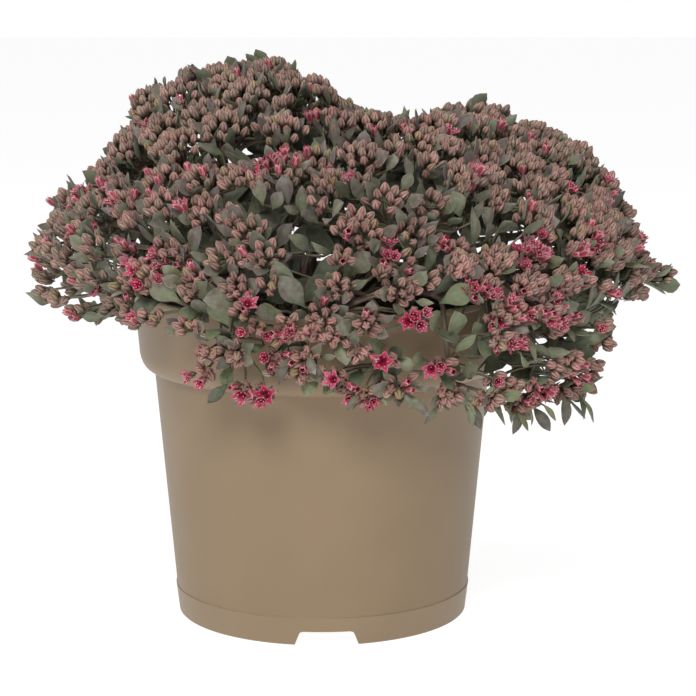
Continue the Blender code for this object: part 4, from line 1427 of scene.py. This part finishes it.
class QuarterGrowth:
    """One quarter of the plant while it is being stamped."""

    def __init__(self, plant: Stonecrop, quarter: Quarter) -> None:
        """Starts the quarter's empty pieces."""
        self.plant, self.plan, self.quarter = plant, plant.plan, quarter
        self.buds, self.petals, self.hearts, self.leaves = (Stamper() for _ in range(4))
        self.stems, self.twigs = Tubes(2), Tubes(0)
        self.chance = random.Random(SEED * 31 + quarter.value)

    def grow_head(self, i: int) -> None:
        """Grows one head: its stem, and a cyme on its own branch at each of its lumps."""
        plant, plan = self.plant, self.plan
        head = plan.heads[i]
        chance = random.Random(SEED * 911 + i)
        habit = plant.habit_of(head, chance)
        route = plan.routes[i]
        self.stems.add([route[0] - UP * plant.root_depth] + route, *plant.stem_radii)
        foot, along = plan.stem_foot(head)
        size = plan.size_of(head)
        outline = plan.cell(i, 0.6 * MM)
        for lump in plan.lumps(i):
            way = plan.direction(head.way, lump)
            if self.hangs_free(plan.point(way, 0)) or chance.random() < habit.sparse:
                continue
            depth = plant.trail_cyme_depth if head.trailing else plant.cyme_depth
            raised = head._replace(
                out=head.out + self.shift_of(way) + chance.uniform(*plant.cyme_lift))
            joint = plan.point(way, depth * chance.uniform(0.9, 1.1) - raised.out)
            outward = (plan.point(way, 0) - joint).normalized()
            run = (joint - foot).length
            bend = bezier(foot - along * 1.5 * MM, foot + along * 0.35 * run,
                          joint - outward * 0.45 * run, joint + outward * 1.2 * MM, 6)
            self.stems.add(bend, *plant.branch_radii)
            radius = plant.cyme_radius * chance.uniform(0.92, 1.06)
            drop = plant.cyme_drop * head.depth / plan.head_depth
            cyme = Cyme(raised, habit, lump, size, radius, drop, joint, chance)
            self.grow_cyme(cyme, outline)
            self.grow_bracts(cyme)
        if head.trailing:
            self.grow_joint_leaves(foot, along, head.way, chance)
            if head.way.x > -0.3:
                self.grow_fringe(head, chance)

    def shift_of(self, way: Vector) -> float:
        """Gives how far the cymes stand out at the left shoulder, or sink in at the dips."""
        x = self.plan.point(way, 0).x / MM
        dips = sum(
            dip.depth * math.exp(-(((x - dip.x) / dip.spread) ** 2))
            * clamp(dip.steep * way.z - dip.start)
            for dip in self.plant.dips
        )
        shoulder = self.plant.shoulder_lift * clamp(-3 * way.x - 0.8) * clamp(3 * way.z)
        return (shoulder - dips) * MM

    def grow_joint_leaves(self, foot: Vector, along: Vector, way: Vector,
                          chance: random.Random) -> None:
        """Sets small leaves where a hanging head's branches part.

        Args:
            foot: Where the branches part.
            along: The stem's direction there.
            way: The head's direction.
            chance: Where the small differences come from.
        """
        level, rising = self.plan.axes(way)
        twist = chance.uniform(0, math.tau)
        for k in range(5):
            turn = twist + k * GOLDEN_ANGLE
            tangent = level * math.cos(turn) + rising * math.sin(turn)
            out = (along * chance.uniform(0.2, 0.9) + tangent + way * 0.5).normalized()
            grown = chance.uniform(0.4, 0.65)
            if self.hangs_free(foot + out * self.plant.leaf_length * grown):
                continue
            face = (way + UP * 0.4 - tangent * 0.3).normalized()
            place = blade_place(foot, out, face) @ Matrix.Scale(grown, 4)
            self.leaves.add(chance.choice(self.plant.slim + self.plant.broad), place,
                            chance.random(), chance.uniform(0, 0.6))

    def grow_fringe(self, head: Head, chance: random.Random) -> None:
        """Hangs a few narrow leaves from the lower edge of a head, pointing down and out."""
        size = self.plan.size_of(head)
        level, _ = self.plan.axes(head.way)
        root = self.plan.point(head.way, 12 * MM)
        for _ in range(5 if head.way.x > 0 else 3):
            aside = chance.uniform(-0.75, 0.75)
            spot = Vector((aside, chance.uniform(-0.6, -0.1))) * head.limit / size
            foot = self.plan.point(self.plan.direction(head.way, spot), chance.uniform(3, 9) * MM)
            down = head.way * chance.uniform(0.4, 0.9) - UP * chance.uniform(0.3, 0.9)
            along = (down + level * (aside + chance.uniform(-0.3, 0.3))).normalized()
            grown = chance.uniform(0.45, 0.75)
            if self.hangs_free(foot + along * self.plant.leaf_length * grown + UP * 9 * MM):
                continue
            face = (head.way + UP * 0.5 + level * chance.uniform(-0.6, 0.6)).normalized()
            place = blade_place(foot, along, face) @ Matrix.Scale(grown, 4)
            self.leaves.add(chance.choice(self.plant.slim), place, chance.random(),
                            chance.uniform(0.1, 0.8))
            self.twigs.add([root, foot + along * 1.0 * MM], *self.plant.fringe_twig)

    def grow_cyme(self, cyme: Cyme, outline: list[Vector]) -> None:
        """Grows one cyme: a dome of buds and flowers that spread from one joint.

        Args:
            cyme: The cyme.
            outline: The head's share of the mound, across its direction.
        """
        chance, size, habit = cyme.chance, cyme.size, cyme.habit
        twist = chance.uniform(0, math.tau)
        flowering = chance.random() < habit.flowering
        opened, striped = self.plant.open_shares if flowering else self.plant.rare_shares
        if not flowering:
            striped += 0.04 * habit.airy
        flowers: list[tuple[Vector, float]] = []
        buds: list[tuple[Vector, float]] = []
        for k in range(habit.buds):
            out = cyme.radius * math.sqrt((k + 0.5) / habit.buds)
            out += chance.uniform(-0.5, 0.5) * MM
            turn = twist + k * GOLDEN_ANGLE + chance.uniform(-0.12, 0.12)
            spot = cyme.lump + heading(turn) * out / size
            draw = chance.random()
            if not self.plan.inside(outline, spot, -1.5 * MM / size):
                continue
            if self.hangs_free(self.plan.point(self.plan.direction(cyme.head.way, spot), 0)):
                continue
            share = out / cyme.radius
            if draw < opened:
                for side in (-0.5, 0.5):
                    shift = heading(turn) * side * self.plant.twin_gap
                    opening = chance.choice((Opening.CUP, Opening.CUP, Opening.STAR))
                    self.place_flower(cyme, spot + shift / size, share, opening)
                flowers.append((spot, self.plant.flower_room))
            elif draw < opened + striped:
                self.place_flower(cyme, spot, share, Opening.STRIPED)
            else:
                buds.append((spot, share))
        for spot, share in buds:
            if all((spot - other).length * size > room for other, room in flowers):
                self.place_bud(cyme, spot, share)

    def tip_and_axis(self, cyme: Cyme, spot: Vector, share: float,
                     below: float) -> tuple[Vector, Vector]:
        """Gives where a bud's tip is, and the way that it points.

        Args:
            cyme: Its cyme.
            spot: Its spot across the head's direction.
            share: How far out it is in its cyme.
            below: How far its tip is below the dome.

        Returns:
            The tip and the axis.
        """
        head, chance = cyme.head, cyme.chance
        way = self.plan.direction(head.way, spot)
        tip = self.plan.point(way, cyme.drop * share * share + below - head.out)
        spread = (tip - cyme.joint).normalized()
        rising = clamp(0.3 + 1.5 * way.z + (0.3 if way.x < 0 else 0.0))
        rising *= 0.75 * (1 - 0.6 * cyme.habit.airy) * (0.3 if head.out > 10 * MM else 1.0)
        jitter = scatter(chance, 0.15)
        return tip, (spread * (1 - 0.6 * rising) + UP * rising + jitter).normalized()

    def place_bud(self, cyme: Cyme, spot: Vector, share: float) -> None:
        """Stamps one bud on the cyme's dome, on a stalk from the cyme's joint."""
        chance, airy = cyme.chance, cyme.habit.airy
        below = chance.uniform(-0.8, 1.0 + 3.6 * airy) * MM
        tip, axis = self.tip_and_axis(cyme, spot, share, below)
        long = chance.uniform(0.82, 1.06) + 0.24 * airy
        wide = chance.uniform(0.90, 1.08)
        foot = tip - axis * BUD_LENGTH * long
        bud = self.plant.nearest_bud((foot - cyme.joint).length)
        if airy > self.plant.loose_airy:
            bud = self.plant.buds[0]
            self.grow_twig(cyme, foot, axis, self.plant.bud_twig)
        place = facing(axis, chance.uniform(0, math.tau)) @ Matrix.Diagonal((wide, wide, long, 1))
        place.translation = foot
        self.buds.add(bud, place, chance.random(), cyme.habit.ripe + chance.uniform(-0.35, 0.35))

    def place_flower(self, cyme: Cyme, spot: Vector, share: float, opening: Opening) -> None:
        """Stamps one flower, with its calyx, in place of a bud."""
        chance = cyme.chance
        tip, axis = self.tip_and_axis(cyme, spot, share, chance.uniform(-2.0, 0.5) * MM)
        grown = chance.uniform(0.95, 1.2)
        place = facing(axis, chance.uniform(0, math.tau)) @ Matrix.Scale(grown, 4)
        place.translation = tip - axis * 5.6 * MM * grown
        flower = self.plant.flowers[opening]
        lucky = chance.random()
        pale = cyme.habit.pale + chance.uniform(-0.15, 0.3)
        self.petals.add(flower.petals, place, lucky, pale)
        self.hearts.add(flower.heart, place, lucky, pale)
        self.buds.add(self.plant.calyx, place @ Matrix.Translation((0, 0, -1.2 * MM)),
                      0.9 * lucky, 0.15)
        foot = place.translation - axis * 1.4 * MM
        self.grow_twig(cyme, foot, axis, self.plant.flower_twig)

    def grow_twig(self, cyme: Cyme, foot: Vector, axis: Vector,
                  radii: tuple[float, float]) -> None:
        """Joins a bud's or flower's foot to its cyme's joint with a bent twig.

        Args:
            cyme: The cyme.
            foot: The foot.
            axis: The way that the bud or flower points.
            radii: The twig's radius at the joint and at the foot.
        """
        bend = cyme.joint.lerp(foot, 0.6) - axis * 0.8 * MM
        self.twigs.add([cyme.joint, bend, foot], *radii)

    def grow_bracts(self, cyme: Cyme) -> None:
        """Sets a few small leaves round the foot of a cyme."""
        head, chance = cyme.head, cyme.chance
        count = chance.choice((4, 4, 5)) + (1 if cyme.habit.airy > 0.4 else 0)
        twist = chance.uniform(0, math.tau)
        for k in range(count):
            turn = twist + k * math.tau / count + chance.uniform(-0.5, 0.5)
            reach = (cyme.radius + chance.uniform(-2, 2.5) * MM) / cyme.size
            spot = cyme.lump + heading(turn) * reach
            way = self.plan.direction(head.way, spot)
            tip = self.plan.point(way, chance.uniform(-1.5, 6) * MM - head.out)
            if self.hangs_free(tip):
                continue
            normal = (tip - self.plan.point(way, 30 * MM)).normalized()
            along = ((tip - cyme.joint).normalized() + UP * 0.45 * clamp(0.4 + way.z)).normalized()
            grown = chance.uniform(0.85, 1.45)
            foot = tip - along * self.plant.bract_length * grown
            place = blade_place(foot, along, normal) @ Matrix.Scale(grown, 4)
            flushed = 0.35 + 0.5 * head.way.z + chance.uniform(-0.3, 0.3)
            self.leaves.add(chance.choice(self.plant.bracts), place, chance.random(), flushed)
            if (foot - cyme.joint).length > 2 * MM:
                self.twigs.add([cyme.joint, foot + along * 1.0 * MM], *self.plant.flower_twig)

    def fill_gap(self, way: Vector, owner: int) -> None:
        """Grows a small spray of buds or a leaf into a gap between heads."""
        if self.hangs_free(self.plan.point(way, 0) - UP * 4 * MM):
            return
        if self.chance.random() < 0.6 * self.far_left(way):
            return
        if self.chance.random() < (0.5 if way.z < 0.3 else 0.3):
            self.grow_spray(way, owner)
        else:
            self.grow_gap_leaf(way, owner)

    @staticmethod
    def far_left(way: Vector) -> float:
        """Gives how far a direction is into the thin far left: 0 outside it, 1 well in it."""
        return clamp(-4 * way.x - 2.8)

    @staticmethod
    def left_share(way: Vector) -> float:
        """Gives how far a direction is into the left side, where leaves are smaller."""
        return clamp(-1.6 * way.x - 0.6)

    def grow_spray(self, way: Vector, owner: int) -> None:
        """Grows a spray of a few buds into a gap between heads, from the nearest stem."""
        chance = self.chance
        head = Head(way, 10 * MM, self.plan.trail_depth, False, chance.uniform(-3, 2) * MM)
        habit = self.plant.habit_of(head, chance)
        loose = replace(habit, airy=max(0.55, habit.airy))
        joint = self.plan.point(way, self.plant.trail_cyme_depth)
        radius = chance.uniform(5.5, 8.5) * MM
        size = self.plan.size_of(head)
        cyme = Cyme(head, loose, Vector((0, 0)), size, radius, 4 * MM, joint, chance)
        count = chance.randint(4, 9)
        for k in range(count):
            out = radius * math.sqrt((k + 0.5) / count)
            spot = heading(k * GOLDEN_ANGLE) * out / size
            if chance.random() < 0.5 * habit.flowering:
                self.place_flower(cyme, spot, out / radius, chance.choice(list(Opening)))
            else:
                self.place_bud(cyme, spot, out / radius)
        self.grow_petiole(joint, way, self.plan.routes[owner])

    def hangs_free(self, point: Vector) -> bool:
        """Tells whether a point is below the line of x and z, in mm, that the plant hangs to."""
        x, y, z = point / MM
        lowest = float(np.interp(x, *zip(*self.plant.hang_line)))
        return z < lowest - self.plant.hang_tilt * y

    def grow_gap_leaf(self, way: Vector, owner: int) -> None:
        """Grows a leaf into a gap between heads, on a stalk from the nearest stem."""
        chance = self.chance
        radial = (self.plan.point(way, 0) - self.plan.point(way, 30 * MM)).normalized()
        level, rising = self.plan.axes(way)
        turn = chance.uniform(0, math.tau)
        tangent = level * math.cos(turn) + rising * math.sin(turn)
        upright = UP * clamp(0.25 + 1.0 * way.z, 0.0, 0.6)
        along = (radial * 0.7 + upright + tangent * chance.uniform(0.25, 0.9)).normalized()
        small = clamp(abs(way.z - 0.2) * 2) * 0.3 + 0.25 * self.left_share(way)
        grown = chance.uniform(0.75, 1.1) - small
        middle = self.plan.point(way, chance.uniform(6, 13) * MM)
        foot = middle - along * self.plant.leaf_length / 2 * grown
        if self.hangs_free(foot + along * self.plant.leaf_length * grown):
            return
        flat = Vector((radial.x, radial.y, 0.25))
        face = (flat + tangent * chance.uniform(-0.5, 0.5)).normalized()
        slim = chance.random() < clamp(0.2 + 0.8 * way.z + 0.4 * way.x)
        leaf = chance.choice(self.plant.slim if slim else self.plant.broad)
        place = blade_place(foot, along, face) @ Matrix.Scale(grown, 4)
        flushed = 0.15 + 0.7 * way.z + chance.uniform(-0.25, 0.35)
        self.leaves.add(leaf, place, chance.random(), flushed)
        self.grow_petiole(foot, along, self.plan.routes[owner])

    def grow_petiole(self, foot: Vector, along: Vector, route: list[Vector]) -> None:
        """Joins a leaf's foot to the nearest point of a stem with a thin stalk."""
        root = nearest_on(route, foot)
        run = (root - foot).length
        line = bezier(root, root.lerp(foot, 0.35) + UP * 0.1 * run, foot - along * 0.3 * run,
                      foot + along * 1.2 * MM, 4)
        self.twigs.add(line, *self.plant.petiole)

    def grow_shade_leaves(self, i: int) -> None:
        """Clothes a stem with leaves below its head, which fill the shade inside the mound."""
        chance, plan = self.chance, self.plan
        head, route = plan.heads[i], plan.routes[i]
        for _ in range(round(self.plant.shade_leaves * (1 - 0.5 * self.far_left(head.way)))):
            spot = Vector((chance.uniform(-0.3, 0.3), chance.uniform(-0.3, 0.3)))
            way = plan.direction(head.way, spot)
            depth = chance.uniform(17, 34) if head.trailing else chance.uniform(19, 60)
            place = plan.point(way, depth * MM)
            reach = math.hypot(place.x, place.y)
            if place.z < plan.rim_height + 8 * MM and reach < plan.rim_radius + 12 * MM:
                continue
            root = nearest_on(route, place)
            aside = scatter(chance, 0.5)
            along = ((place - root).normalized() + UP * 0.5 + aside).normalized()
            grown = chance.uniform(0.7, 1.1) - 0.25 * self.left_share(way)
            if self.hangs_free(place - UP * 6 * MM):
                continue
            foot = place - along * self.plant.leaf_length / 2 * grown
            face = (Vector((way.x, way.y, 0.3)) + aside).normalized()
            blade = blade_place(foot, along, face) @ Matrix.Scale(grown, 4)
            # These leaves take chance values of only 0 to 0.3, which paints them darker and less
            # olive: painted shade for the inside of the mound
            self.leaves.add(chance.choice(self.plant.shade), blade,
                            chance.uniform(0, 0.3), chance.uniform(0, 0.4))
            self.twigs.add([root, foot + along * 1.2 * MM], *self.plant.shade_twig)

    def finish(self, members: list[int], finishes: dict[str, bpy.types.Material]) -> None:
        """Writes the quarter's pieces, each standing for the solids it takes the place of."""
        label = self.quarter.name.lower()
        heads = [f"head_{i + 1:02d}" for i in members]
        span = self.plan.clumps // len(Quarter)
        first = self.quarter.value * span
        clumps = [f"clump_{k + 1:02d}" for k in range(first, first + span)]
        for kind, grown, finish, slot, stands_for in (
            ("buds", self.buds, "bud", "buds", heads),
            ("petals", self.petals, "petal", "buds", ()),
            ("stamens", self.hearts, "stamen", "buds", ()),
            ("leaves", self.leaves, "leaf", "foliage", clumps),
            ("stems", self.stems, "stem", "foliage", clumps),
            ("twigs", self.twigs, "stem", "foliage", ()),
        ):
            add_piece(f"{kind}_{label}", grown.finish(kind), finishes[finish], stands_for)


# ---------------------------------------------------------------- the pot and its compost


@dataclass
class NurseryPot:
    """The pot: tapered body, rim band with its bead, notched foot ring and drain holes."""

    rim_radius: float = RIM_RADIUS
    height: float = POT_HEIGHT
    wall: float = 1.8 * MM
    foot_radius: float = 73.2 * MM
    foot_ring_width: float = 2.2 * MM
    foot_height: float = 14.0 * MM
    foot_ledge: float = 0.45 * MM
    floor_lift: float = 8.0 * MM
    body_top_radius: float = 84.5 * MM
    band_bottom: float = 125.5 * MM
    band_lip: float = 2.0 * MM
    shoulder_height: float = 10.5 * MM
    shoulder_radius: float = 92.0 * MM
    bead_height: float = 2.6 * MM
    bead_proud: float = 0.7 * MM
    sides: int = 144
    notch_turn: float = math.radians(1.6)
    notch_top_width: float = 25.0 * MM
    notch_foot_width: float = 31.0 * MM
    notch_height: float = 7.0 * MM
    drain_circle: float = 46.0 * MM
    drain_radius: float = 4.5 * MM

    def inner_radius(self, height: float) -> float:
        """Gives the inner radius of the tapered body at a height."""
        share = height / self.band_bottom
        return self.foot_radius + (self.body_top_radius - self.foot_radius) * share - self.wall

    def profile(self) -> list[tuple[float, float]]:
        """Gives the wall's outline, from the middle of its floor out, over the rim and down."""
        slope = (self.body_top_radius - self.foot_radius) / self.band_bottom
        ledge = self.foot_radius + slope * self.foot_height
        floor_top = self.floor_lift + self.wall
        shoulder_top = self.band_bottom + self.shoulder_height
        band_top = self.rim_radius - self.bead_proud
        inner_foot = self.foot_radius - self.foot_ring_width
        under_bead = self.height - self.bead_height
        points = [
            (0, floor_top),
            (self.inner_radius(floor_top) - 2 * MM, floor_top),
            (self.inner_radius(floor_top), floor_top + 2 * MM),
            (self.inner_radius(self.band_bottom), self.band_bottom + self.wall),
            (self.shoulder_radius - self.wall, shoulder_top),
            (band_top - self.wall, self.height - 0.3 * MM),
            (band_top - self.wall + 0.3 * MM, self.height),
            (self.rim_radius - 0.5 * MM, self.height),
            (self.rim_radius - 0.15 * MM, self.height - 0.15 * MM),
            (self.rim_radius, self.height - 0.5 * MM),
            (self.rim_radius, under_bead + 0.3 * MM),
            (self.rim_radius - 0.2 * MM, under_bead),
            (band_top, under_bead - 0.3 * MM),
        ]
        # The band's shoulder is a quarter of a soft oval between the straight wall and the lip
        for k in range(7):
            turn = k / 6 * math.pi / 2
            points.append((
                self.body_top_radius + self.band_lip
                + (self.shoulder_radius - self.body_top_radius - self.band_lip) * math.cos(turn),
                shoulder_top - (self.shoulder_height - 0.4 * MM) * math.sin(turn),
            ))
        points += [
            (self.body_top_radius + self.band_lip - 0.4 * MM, self.band_bottom),
            (self.body_top_radius, self.band_bottom),
            (ledge, self.foot_height + self.foot_ledge),
            (ledge + 0.3 * self.foot_ledge, self.foot_height + 0.2 * self.foot_ledge),
            (ledge + self.foot_ledge, self.foot_height - 0.2 * MM),
            (self.foot_radius + 0.1 * MM, 0.4 * MM),
            (self.foot_radius - 0.3 * MM, 0),
            (inner_foot, 0),
            (inner_foot + 0.4 * MM, self.floor_lift),
            (0, self.floor_lift),
        ]
        return points

    def notch(self, turn: float) -> bpy.types.Object:
        """Makes a wedge that cuts one drainage notch through the foot."""
        bm = bmesh.new()
        below = -2 * MM
        spread = (self.notch_foot_width - self.notch_top_width) / 2 / self.notch_height
        foot_half = self.notch_top_width / 2 + spread * (self.notch_height - below)
        half = self.notch_top_width / 2
        outline = (
            (-foot_half, below),
            (foot_half, below),
            (half + 1.0 * MM, self.notch_height - 1.4 * MM),
            (half + 0.5 * MM, self.notch_height - 0.5 * MM),
            (half - 1.0 * MM, self.notch_height),
            (1.0 * MM - half, self.notch_height),
            (-half - 0.5 * MM, self.notch_height - 0.5 * MM),
            (-half - 1.0 * MM, self.notch_height - 1.4 * MM),
        )
        inner = self.foot_radius - 9 * MM
        face = bm.faces.new([bm.verts.new((inner, across, up)) for across, up in outline])
        pushed = bmesh.ops.extrude_face_region(bm, geom=[face])["geom"]
        outward = [v for v in pushed if isinstance(v, bmesh.types.BMVert)]
        bmesh.ops.translate(bm, verts=outward, vec=(16 * MM, 0, 0))
        bmesh.ops.rotate(bm, verts=bm.verts, matrix=Matrix.Rotation(turn, 3, "Z"))
        bmesh.ops.recalc_face_normals(bm, faces=bm.faces)
        return linked("notch", mesh_of(bm, "notch"))

    def build(self, finish: bpy.types.Material) -> None:
        """Turns the wall, cuts the notches and drain holes, and adds the pot."""
        pot = linked("pot_blank", mesh_of(turned(self.profile(), self.sides), "pot"))
        cutters = [
            self.notch(-math.pi / 2 + self.notch_turn + k * math.tau / 3) for k in range(3)
        ]
        for k in range(5):
            middle = round_z(self.drain_circle, (k + 0.5) * math.tau / 5, self.floor_lift + 1 * MM)
            place = Matrix.Translation(middle)
            hole = bmesh.new()
            bmesh.ops.create_cone(hole, cap_ends=True, segments=24, radius1=self.drain_radius,
                                  radius2=self.drain_radius, depth=6 * MM, matrix=place)
            cutters.append(linked("drain", mesh_of(hole, "drain")))
        for cutter in cutters:
            cut = pot.modifiers.new("cut", "BOOLEAN")
            cut.operation = "DIFFERENCE"
            cut.solver = "EXACT"
            cut.object = cutter
        mesh = evaluated(pot, "pot")
        for cutter in cutters:
            bpy.data.objects.remove(cutter)
        add_piece("nursery_pot", mesh, finish, ["pot"], crease=35)


@dataclass
class Compost:
    """The compost: a crumbly top inside the rim, closed below by the filling's plain sides."""

    top: float = SOIL_TOP
    mound: float = 3.0 * MM
    radius: float = 89.6 * MM
    bottom_radius: float = 72.0 * MM
    bottom: float = 10.3 * MM
    rings: int = 44
    sides: int = 120
    crumbs: int = 420

    def crown_at(self, reach: float) -> float:
        """Gives how far the top is domed at a distance from its middle."""
        return self.mound * (1 - (reach / self.radius) ** 2)

    def build(self, finish: bpy.types.Material) -> None:
        """Makes the roughened filling and scatters crumbs over it."""
        chance = random.Random(SEED * 5)
        line = [(self.radius * k / self.rings, self.top) for k in range(self.rings + 1)]
        line += [
            (self.radius - 6.5 * MM, self.top - 26 * MM),
            (self.bottom_radius - 0.5 * MM, self.bottom),
            (0, self.bottom),
        ]
        bm = turned(line, self.sides)
        for v in bm.verts:
            reach = math.hypot(v.co.x, v.co.y)
            if v.co.z > self.top - 1 * MM and reach < self.radius - 0.5 * MM:
                lump = noise.fractal(v.co * 90, 0.8, 2.1, 4) * 1.6 * MM
                grit = noise.noise(v.co * 420) * 0.9 * MM
                v.co.z += self.crown_at(reach) + lump + grit
        crumb = bmesh.new()
        bmesh.ops.create_icosphere(crumb, subdivisions=1, radius=1.0)
        template = mesh_of(crumb, "crumb")
        for _ in range(self.crumbs):
            reach = (self.radius - 3 * MM) * math.sqrt(chance.random())
            turn = chance.uniform(0, math.tau)
            size = chance.uniform(0.7, 2.1) * MM
            spin = Matrix.Rotation(chance.uniform(0, math.tau), 4, "X")
            height = self.top + self.crown_at(reach) + 0.3 * size
            place = Matrix.Translation(round_z(reach, turn, height))
            stretch = Matrix.Diagonal((size, size * chance.uniform(0.6, 1.0), size * 0.8, 1))
            stamp(bm, template, place @ spin @ stretch)
        add_piece("compost", mesh_of(bm, "compost"), finish, ["soil"], crease=80)


# ---------------------------------------------------------------- the studio


class Lamp(NamedTuple):
    """A square soft box: its place, its width, its power in watts and how high it aims."""

    name: str
    place: tuple[float, float, float]
    size: float
    power: float
    aim: float


@dataclass
class Studio:
    """A white paper floor, soft lights and the camera at the photograph's angle."""

    camera_place: tuple[float, float, float] = (0.0, -1.1969, 0.3478)
    camera_pitch: float = 0.177
    camera_yaw: float = 0.011
    lens: float = 2403.6 * 36 / 696
    sensor: float = 36.0
    clip: tuple[float, float] = (0.05, 40.0)
    floor_size: float = 6.0
    world_white: str = "#FFFFFF"
    world_strength: float = 0.14
    lamps: tuple[Lamp, ...] = (
        Lamp("key", (-0.30, -1.7, 1.5), 0.8, 28.5, 0.16),
        Lamp("fill", (1.3, -1.3, 0.9), 1.4, 0.3, 0.14),
        Lamp("top", (-0.65, 0.1, 1.65), 1.2, 12.0, 0.2),
    )

    def build(self, paper: bpy.types.Material) -> None:
        """Adds the floor, the lights, the world and the camera."""
        bm = bmesh.new()
        bmesh.ops.create_grid(bm, x_segments=8, y_segments=8, size=self.floor_size)
        mesh = mesh_of(bm, "floor")
        mesh.materials.append(paper)
        linked("floor", mesh)
        for lamp in self.lamps:
            data = bpy.data.lights.new(lamp.name, "AREA")
            data.shape = "RECTANGLE"
            data.size = data.size_y = lamp.size
            data.energy = lamp.power
            self.aimed(data, lamp.place, Vector((0, 0, lamp.aim)) - Vector(lamp.place))
        self.set_world()
        self.add_camera()

    @staticmethod
    def aimed(data: bpy.types.ID, place: tuple, way: Vector) -> bpy.types.Object:
        """Adds a lamp or a camera at a place, looking along a direction."""
        obj = linked(data.name, data)
        obj.location = place
        obj.rotation_mode = "QUATERNION"
        obj.rotation_quaternion = way.to_track_quat("-Z", "Y")
        return obj

    def set_world(self) -> None:
        """Sets the even white light that fills the studio, plain white where the camera sees it."""
        world = bpy.data.worlds.new("studio")
        world.use_nodes = True
        tree = world.node_tree
        sky = tree.nodes["Background"]
        feed(sky, {"Color": self.world_white, "Strength": self.world_strength})
        backdrop = add_node(tree, "ShaderNodeBackground",
                            {"Color": self.world_white, "Strength": 1.0})
        seen = add_node(tree, "ShaderNodeLightPath")
        both = add_node(tree, "ShaderNodeMixShader", {
            0: seen.outputs["Is Camera Ray"], 1: sky.outputs[0], 2: backdrop.outputs[0]})
        feed(tree.nodes["World Output"], {"Surface": both.outputs[0]})
        bpy.context.scene.world = world

    def add_camera(self) -> None:
        """Adds the camera, a little above the rim and looking slightly down."""
        data = bpy.data.cameras.new("camera")
        data.lens = self.lens
        data.sensor_width = self.sensor
        data.clip_start, data.clip_end = self.clip
        level = math.cos(self.camera_pitch)
        way = Vector((math.sin(self.camera_yaw) * level, math.cos(self.camera_yaw) * level,
                      -math.sin(self.camera_pitch)))
        bpy.context.scene.camera = self.aimed(data, self.camera_place, way)


def main() -> None:
    """Builds the pot, the compost, the plant and the studio."""
    logging.basicConfig(level=logging.INFO, format="%(name)s %(message)s")
    for obj in list(bpy.data.objects):
        if obj.type in ("LIGHT", "CAMERA") or obj.name == "Cube":
            bpy.data.objects.remove(obj)
    scene = bpy.context.scene
    scene.view_settings.view_transform = "Standard"
    finishes = {
        "bud": BudSkin().make(),
        "petal": PetalTissue().make(),
        "stamen": StamenTissue().make(),
        "leaf": WaxyLeaf().make(),
        "stem": StemSkin().make(),
    }
    NurseryPot().build(MouldedPolypropylene().make())
    Compost().build(PeatCompost().make())
    Stonecrop(MoundPlan()).build(finishes)
    Studio().build(StudioPaper().make())


if __name__ == "__main__":
    main()
